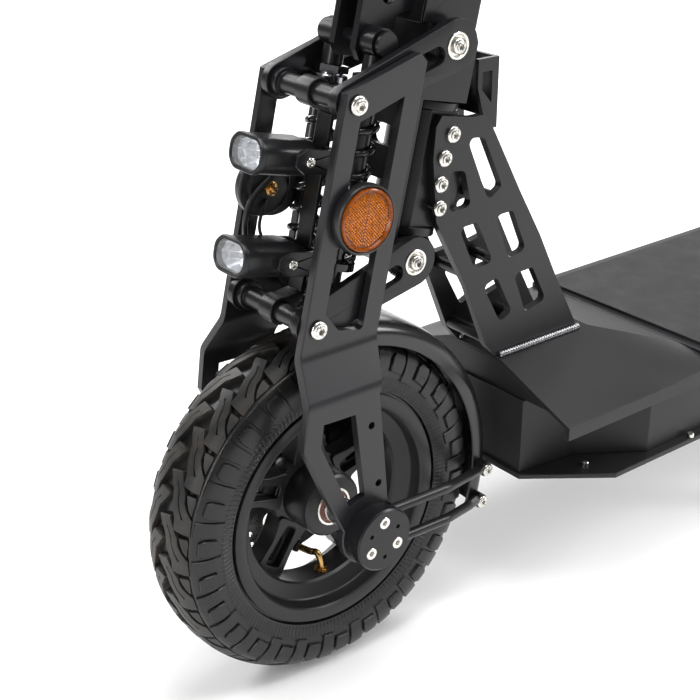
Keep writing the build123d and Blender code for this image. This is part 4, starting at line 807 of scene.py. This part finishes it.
def front_rim():
    """Drop-centre rim with a stepped well, ribbed spokes with a slot each, and a hub."""
    half = [(26.8, 86.0), (24.4, 86.0), (23.5, 81.6), (17.6, 81.6), (14.5, 78.4), (11, 68.4), (0, 68.4)]
    well = [(0, 63.2), (9.5, 63.2), (11.5, 64.6), (15.4, 73.2), (16.2, 74.6), (17.2, 75.2), (25.2, 76.4),
            (26.4, 77.4), (27.0, 79.4), (27.2, 84.6)]
    profile = half + [(-y, r) for y, r in half[-2::-1]] + [(-y, r) for y, r in well[::-1]] + well[1:]
    ring = bmesh.new()
    lathe(ring, front_axle, profile, 160)
    piece = add_piece("front_rim_ring", finished(ring), "rim", "front_wheel", "front_rim", slot="alloy")
    sharpen(piece, 30)
    hub = bmesh.new()
    lathe(hub, front_axle, HUB, 72)
    piece = add_piece("front_hub", finished(hub), "rim", "front_wheel", slot="alloy")
    sharpen(piece, 30)
    spokes = bmesh.new()
    outer = rounded([(24, -15), (42, -10.5), (64, -13), (66, -5), (66, 5), (64, 13), (42, 10.5), (24, 15)], 5)
    slot = rounded([(38, -2.6), (57, -3.6), (57, 3.6), (38, 2.6)], 2.4)
    pocket = rounded([(29, -4.6), (60, -6.6), (60, 6.6), (29, 4.6)], 3)
    web = rounded([(28, -5.5), (61, -7.4), (61, 7.4), (28, 5.5)], 3)
    for i in range(SPOKES):
        turn = math.radians(360 / SPOKES * i + SPOKE_TURN)

        def place_at(near, far):
            def place(point, level):
                y = (near, far)[level] * MM
                direction = Vector((math.cos(turn), 0, math.sin(turn)))
                across = Vector((-math.sin(turn), 0, math.cos(turn)))
                return front_axle + direction * (point.x * MM) + across * (point.y * MM) + LEFT * y
            return place

        cut_plate(spokes, [outer, pocket], place_at(-4.5, -20.0))
        cut_plate(spokes, [web, slot], place_at(-10, -14.5))
    piece = add_piece("front_rim_spokes", finished(spokes), "rim", "front_wheel", slot="alloy")
    sharpen(piece, 30)
    soften(piece, 0.001)


front_rim()


def hub_bearings():
    """The two bearings, the near one with a coloured seal."""
    near = [(21.6, 6.1), (21.6, 8.2), (21.0, 8.4), (21.0, 12.2), (22.0, 12.5), (22.0, 14), (11, 14),
            (11, 6.1)]
    far = [(-31.4, 6.1), (-31.4, 14), (-21, 14), (-21, 6.1)]
    mesh = bmesh.new()
    lathe(mesh, front_axle, near, 64)
    lathe(mesh, front_axle, far, 64)
    piece = add_piece("hub_bearing_rings", finished(mesh), "steel", "front_wheel", "front_hub_bearings",
                      slot="steel")
    sharpen(piece)
    seal = bmesh.new()
    lathe(seal, front_axle, [(21.5, 8.5), (21.7, 10.3), (21.5, 12.1), (21.05, 12.1), (21.05, 8.5)], 64)
    add_piece("hub_seal", finished(seal), "seal", "front_wheel", slot="red")


hub_bearings()


def tube_along(mesh, points, radius, sides):
    """A capped round tube along a list of points; radius is in mm, one value or one per point."""
    count = len(points)
    radii = radius if isinstance(radius, list) else [radius] * count
    direction = (points[1] - points[0]).normalized()
    u = direction.orthogonal().normalized()
    rings = []
    for i, p in enumerate(points):
        ahead = points[min(i + 1, count - 1)] - points[max(i - 1, 0)]
        ahead.normalize()
        u = (u - ahead * u.dot(ahead)).normalized()
        v = ahead.cross(u)
        ring = []
        for k in range(sides):
            turn = 2 * math.pi * k / sides
            ring.append(mesh.verts.new(p + (u * math.cos(turn) + v * math.sin(turn)) * (radii[i] * MM)))
        rings.append(ring)
    for a, b in zip(rings, rings[1:]):
        for k in range(sides):
            n = (k + 1) % sides
            mesh.faces.new((a[k], a[n], b[n], b[k]))
    mesh.faces.new(rings[0][::-1])
    mesh.faces.new(rings[-1])


VALVE_TURN = -93                # degrees from forward, so nearly straight down
VALVE_FOOT, VALVE_KNEE = 0.0635, 0.0515         # distances from the axle


def valve():
    """A bent brass valve stem with a black cap, standing out of the rim's well."""
    turn = math.radians(VALVE_TURN)
    out = Vector((math.cos(turn), 0, math.sin(turn)))
    foot = front_axle + out * VALVE_FOOT + LEFT * 0.002
    knee = front_axle + out * VALVE_KNEE + LEFT * 0.001
    tip = knee + Vector((0.007, -0.017, 0.002))
    stops = [foot, foot.lerp(knee, 0.7), knee.lerp(tip, 0.12) - out * 0.0012, knee.lerp(tip, 0.45), tip]
    line = curve_through(stops, 6)
    brass = bmesh.new()
    tube_along(brass, line, 2.5, 16)
    turned(brass, foot, -out, [(0, 0), (0, 5.2), (1.5, 5.2), (1.5, 4.2), (2, 4.2), (2, 2.4)], 24)
    piece = add_piece("valve_stem", finished(brass), "brass", "front_wheel", slot="steel")
    sharpen(piece)
    cap = bmesh.new()
    away = (line[-1] - line[-3]).normalized()
    cap_profile = [(0, 2.5), (0, 4.3), (1, 4.6), (9, 4.2), (10.4, 3.2), (10.6, 0)]
    turned(cap, line[-1] - away * 0.001, away, cap_profile, 20)
    piece = add_piece("valve_cap", finished(cap), "plastic", "front_wheel", slot="plastic")
    sharpen(piece)


valve()


# ---------------------------------------------------------------- springs

COILS = 7.5
STEPS_PER_COIL = 20
END_EASE = 0.012                # how much closer the end coils lie, as a share of the length


def spring_pieces(name, starts, axis, length, body, node, radius, wire):
    """Coil springs from each start along axis."""
    mesh = bmesh.new()
    axis = axis.normalized()
    v = axis.cross(LEFT)
    steps = int(COILS * STEPS_PER_COIL)
    for start in starts:
        points = []
        for i in range(steps + 1):
            t = i / steps
            angle = 2 * math.pi * COILS * t
            eased = t - END_EASE * math.sin(2 * math.pi * t)
            round_axis = (LEFT * math.cos(angle) + v * math.sin(angle)) * (radius * MM)
            points.append(start + axis * (length * eased) + round_axis)
        tube_along(mesh, points, wire, 10)
    piece = add_piece(name, finished(mesh), "spring", body, node, slot="spring")
    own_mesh(piece)


spring_start, spring_end = 179.8, 284.2
front_starts = [raked(SHOCK_F, spring_start, y) for y in (SHOCK_Y, -SHOCK_Y)]
spring_pieces("front_springs", front_starts, ALONG, (spring_end - spring_start) * MM, "shock_body",
              "shock_springs", radius=9.1, wire=2.4)
rear_run = REAR_SHOCK_TOP - REAR_SHOCK_FOOT
rear_line = rear_run.normalized()
foot_seat, top_seat = 0.0259, 0.0239
rear_starts = [REAR_SHOCK_FOOT + rear_line * foot_seat + LEFT * y for y in (REAR_SHOCK_Y, -REAR_SHOCK_Y)]
spring_pieces("rear_springs", rear_starts, rear_line, rear_run.length - foot_seat - top_seat,
              "rear_shock_body", "rear_shock_springs", radius=9.6, wire=1.9)


def shock_collars():
    """Adjuster rings over the springs' upper ends: a round ring and a hexagonal lock ring."""
    rings = [(286.4, 6.2), (286.4, 11.4), (287, 12), (290.6, 12), (291.2, 11.4), (291.2, 8.6), (292.4, 8.6),
             (292.6, 10.2, "hex"), (297.4, 10.2, "hex"), (297.8, 9.4), (298, 6.2)]
    mesh = bmesh.new()
    for y in (SHOCK_Y, -SHOCK_Y):
        turned(mesh, raked(SHOCK_F, 0, y), ALONG, rings, 48)
    piece = add_piece("shock_collars", finished(mesh), "chrome", "shock_body", slot="steel")
    sharpen(piece)


shock_collars()


# ---------------------------------------------------------------- headlights and reflectors

def lofted(mesh, rings, close_start):
    """Skins one closed ring of points to the next; the last ring is always closed."""
    made = [[mesh.verts.new(p) for p in ring] for ring in rings]
    for a, b in zip(made, made[1:]):
        for i in range(len(a)):
            k = (i + 1) % len(a)
            mesh.faces.new((a[i], a[k], b[k], b[i]))
    if close_start:
        mesh.faces.new(made[0])
    mesh.faces.new(made[-1][::-1])


def lamp_ring(f, h, width, height, corner=0.27, steps=4, round_share=0.6):
    """A rectangle with cut and rounded corners across a lamp; corner is the cut's share of the height."""
    cut = height * corner
    w, d = width / 2, height / 2
    points = [(-w, -d + cut), (-w + cut, -d), (w - cut, -d), (w, -d + cut), (w, d - cut), (w - cut, d),
              (-w + cut, d), (-w, d - cut)]
    outline = rounded(points, cut * round_share, steps)
    return [raked(f, h) + LEFT * (p.x * MM) + ALONG * (p.y * MM) for p in outline]


# Sections through a lamp: (f, width, height). The housing's sizes are added to LAMP_WIDTH and LAMP_HEIGHT.
HOUSING = [(51, -15, -12), (51.6, -12.6, -9.6), (54, -9, -7), (65, -1.2, -1), (67, 0, 0), (103, 0, 0),
           (103.6, 0.9, 0.9), (106.2, 0.9, 0.9), (107, 0, 0), (107, -3.4, -3.4), (106.2, -4.4, -4.4),
           (101.4, -4.8, -4.8), (84, -5, -5), (84, -24, -16)]
BOWL = [(102.4, 29.1, 18.1), (98, 25, 15), (93, 18, 11), (89.5, 10, 7), (88, 4, 3)]
LENS_FRONT = [(106.2, 29.5, 18.5), (106.7, 27, 16.2), (106.8, 16, 9), (106.8, 5, 3)]
LENS_BACK = [(104.8, 5, 3), (104.6, 15, 8.6), (104.9, 20, 12), (104.2, 24.6, 14.6), (104.6, 29.5, 18.5)]


def headlights():
    """Each lamp is a housing, a faceted bowl inside it and a clear lens with a stepped back."""
    shells, bowls, lenses = bmesh.new(), bmesh.new(), bmesh.new()
    for h in LAMPS_H:
        lofted(shells, [lamp_ring(f, h, LAMP_WIDTH + a, LAMP_HEIGHT + b) for f, a, b in HOUSING], True)
        lofted(bowls, [lamp_ring(f, h, a, b, 0.3, 1, 0.8) for f, a, b in BOWL], False)
        made = [[lenses.verts.new(p) for p in lamp_ring(f, h, a, b)] for f, a, b in LENS_FRONT + LENS_BACK]
        count = len(made[0])
        for k, (a, b) in enumerate(zip(made, made[1:] + made[:1])):
            if k == len(LENS_FRONT) - 1:
                lenses.faces.new(a)
                lenses.faces.new(b[::-1])
                continue
            for i in range(count):
                n = (i + 1) % count
                lenses.faces.new((a[i], a[n], b[n], b[i]))
    shell = add_piece("headlight_shells", finished(shells), "lamp", "fork", "headlights", slot="alloy")
    sharpen(shell, 32)
    bowl = add_piece("headlight_bowls", finished(bowls), "mirror", "fork", slot="clear")
    for face in bowl.data.polygons:
        face.use_smooth = False
    lens = add_piece("headlight_glass", finished(lenses), "glass", "fork", "headlight_lenses", slot="clear")
    sharpen(lens, 25)


headlights()


CELL_FILL = 0.86                # a pyramid's share of its place in the pattern
BAR_HALF = 0.9
CUP = [(45.3, 0), (45.3, 22.6), (45.8, 23), (51.2, 23), (52.0, 22.5), (52.2, 21.6), (51.6, 20.9),
       (48.3, 20.7), (48.3, 0)]
LENS_RIM = [(51.2, 0), (51.2, 17.7), (51.9, 18.1), (52.9, 18.7), (53.2, 19.5), (52.8, 20.2), (51.9, 20.5),
            (48.4, 20.5), (48.4, 0)]


def reflex_cells(mesh, origin, axis, reach, half_width, half_height, rise):
    """Staggered four-sided pyramids over a disc of radius reach mm, with a plain bar down the middle."""
    rows = int(reach / half_height)
    columns = int(reach / (2 * half_width)) + 1
    for row in range(-rows, rows + 1):
        for column in range(-columns, columns + 1):
            x = 2 * half_width * (column + 0.5 * (row % 2))
            z = half_height * row
            if math.hypot(x, z) > reach - half_width or abs(x) < BAR_HALF:
                continue
            corners = [(x + half_width * CELL_FILL, z), (x, z + half_height * CELL_FILL),
                       (x - half_width * CELL_FILL, z), (x, z - half_height * CELL_FILL)]
            face = axis * (REFLECTOR_FACE * MM)
            peak = axis * ((REFLECTOR_FACE + rise) * MM)
            foot = [mesh.verts.new(origin + AHEAD * (a * MM) + ALONG * (b * MM) + face) for a, b in corners]
            top = mesh.verts.new(origin + AHEAD * (x * MM) + ALONG * (z * MM) + peak)
            for k in range(4):
                mesh.faces.new((foot[k], foot[(k + 1) % 4], top))
            mesh.faces.new(foot[::-1])


def reflector_discs():
    """Round amber reflectors: a cup, a lens with a smooth rim, and a field of small pyramids on its face."""
    cups, lenses, cells = bmesh.new(), bmesh.new(), bmesh.new()
    origin = raked(REFLECTOR_F, REFLECTOR_H)
    for axis in (LEFT, -LEFT):
        turned(cups, origin, axis, CUP, 64)
        turned(lenses, origin, axis, LENS_RIM, 64)
        reflex_cells(cells, origin, axis, reach=18.3, half_width=1.3, half_height=1.0, rise=1.1)
    piece = add_piece("reflector_cups", finished(cups), "plastic", "fork", "reflectors", slot="plastic")
    sharpen(piece)
    lens = add_piece("reflector_lenses", finished(lenses), "amber_deep", "fork", slot="amber")
    sharpen(lens, 30)
    prisms = add_piece("reflector_prisms", cells, "amber", "fork", slot="amber")
    for face in prisms.data.polygons:
        face.use_smooth = False


reflector_discs()


HORN_NUT = [(-25.4, 0), (-25.4, 4.6, "hex"), (-21.6, 4.6, "hex"), (-21.2, 3.9), (-21.2, 2.6), (-18.6, 2.5),
            (-18.2, 1.9), (-18.2, 0)]
# A lead is a radius in mm and the (f, h, y) points that it runs through.
LEADS = ((1.1, [(66, 206, -24.5), (76, 190, -14), (74, 178, 0), (60, 171, 9), (52.2, 174, 5)]),
         (1.9, [(60, 226, -24.5), (79, 208, -22), (84, 190, -19), (72, 172, -24), (54, 166, -9)]))


def horn_fittings():
    """The horn's brass centre nut and the two leads to the lamps."""
    mesh = bmesh.new()
    turned(mesh, raked(HORN_F, HORN_H), LEFT, HORN_NUT, 30)
    nut = add_piece("horn_nut", finished(mesh), "brass", "fork", slot="steel")
    sharpen(nut)
    leads = bmesh.new()
    for radius, stops in LEADS:
        line = curve_through([raked(*stop) for stop in stops], 10)
        tube_along(leads, line, radius, 10)
    add_piece("lamp_leads", finished(leads), "hose", "fork", slot="hose")


horn_fittings()


# ---------------------------------------------------------------- mudguards

GUARD_OUTLINE = [(-33, 118), (-33, 131), (-28.5, 136.8), (-17, 139), (17, 139), (28.5, 136.8), (33, 131),
                 (33, 118)]
GUARD_LIP = [(33, 122.4), (32.2, 121.8), (31, 122.4)]
GUARD_WALL = 2.6


def mudguard(name, centre, body, node, start, sweep):
    """A pressed mudguard with a lip, over the wheel from start degrees above straight behind the axle."""
    corner_steps = 5
    outer = rounded(GUARD_OUTLINE, 7, corner_steps)[corner_steps + 1:-corner_steps - 1]
    inner = [Vector((p.x * 0.93, p.y - GUARD_WALL)) for p in outer]
    lip = [Vector(p) for p in GUARD_LIP]
    far_lip = [Vector((-x, r)) for x, r in GUARD_LIP]
    profile = far_lip[:1] + outer + lip + inner[::-1] + far_lip[:0:-1]
    mesh = bmesh.new()
    steps = 84
    rings = []
    for i in range(steps + 1):
        angle = math.pi - math.radians(start + sweep * i / steps)
        rings.append([wheel_point(centre, angle, p.y * MM, p.x * MM) for p in profile])
    lofted(mesh, rings, True)
    piece = add_piece(name, finished(mesh), "gloss", body, node, slot="gloss")
    sharpen(piece)


mudguard("front_mudguard_shell", front_axle, "fork", "front_mudguard", start=-18, sweep=104)
mudguard("rear_mudguard_shell", rear_axle, "swingarm", "rear_mudguard", start=38, sweep=134)


# ---------------------------------------------------------------- weld beads on the deck

WELD_PITCH = 2.6
WELD_RADIUS = 2.6
WELD_RUN = (-0.151, -0.235)     # from and to, from the front axle
WELD_ROWS = (25.7, 16.4)        # outside and inside of each neck plate


def weld_bead(mesh, start, end):
    """A rippled fillet weld from start to end."""
    length = (end - start).length / MM
    steps = int(length / WELD_PITCH * 6)
    points, radii = [], []
    for i in range(steps + 1):
        t = i / steps
        phase = (t * length / WELD_PITCH) % 1.0
        wobble = 0.25 * math.sin(t * length * 0.9) + 0.15 * math.sin(t * length * 2.3 + 1)
        points.append(start.lerp(end, t) + Vector((0, wobble * 0.4, 0)) * MM)
        scale = 0.66 + 0.42 * math.sqrt(max(0.0, 1 - (2 * phase - 1) ** 2))
        radii.append(WELD_RADIUS * scale + 0.1 * wobble)
    tube_along(mesh, points, radii, 10)


def neck_welds():
    mesh = bmesh.new()
    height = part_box("deck_nose")[1].z + WELD_RADIUS / 2 * MM
    for side in (1, -1):
        for y in WELD_ROWS:
            start, end = (Vector((front_axle.x + x, side * y * MM, height)) for x in WELD_RUN)
            weld_bead(mesh, start, end)
    add_piece("neck_welds", finished(mesh), "weld", "frame", slot="neck_alloy")


neck_welds()


# ---------------------------------------------------------------- floor

FLOOR_HALF = 8
GLOW = (0.08, 0.75)             # the floor's own light near the scooter and far from it
GLOW_REACH = (1.1, 3.0)


def floor_material():
    """Pale paper that glows more away from the scooter, so that it fades to white."""
    s = Shader("pale_floor")
    from_middle = s.node("ShaderNodeVectorMath", operation="LENGTH")
    s.feed(from_middle.inputs[0], s.place)
    colour = s.ramp(s.noise(3), (0.90, 0.90, 0.90), (0.93, 0.93, 0.93), 0.3, 0.7)
    glow = s.ramp(from_middle.outputs["Value"], *GLOW, *GLOW_REACH)
    s.set(Base_Color=colour, Roughness=0.9, Emission_Color=(1, 1, 1, 1), Emission_Strength=glow)
    return s.material


floor_mesh = bmesh.new()
bmesh.ops.create_grid(floor_mesh, x_segments=2, y_segments=2, size=FLOOR_HALF)
floor_data = bpy.data.meshes.new("floor")
floor_mesh.to_mesh(floor_data)
floor_mesh.free()
floor_data.materials.append(floor_material())
floor = bpy.data.objects.new("floor", floor_data)
floor.location.z = -0.0003      # just under the tyres, which touch the ground plane
bpy.context.scene.collection.objects.link(floor)
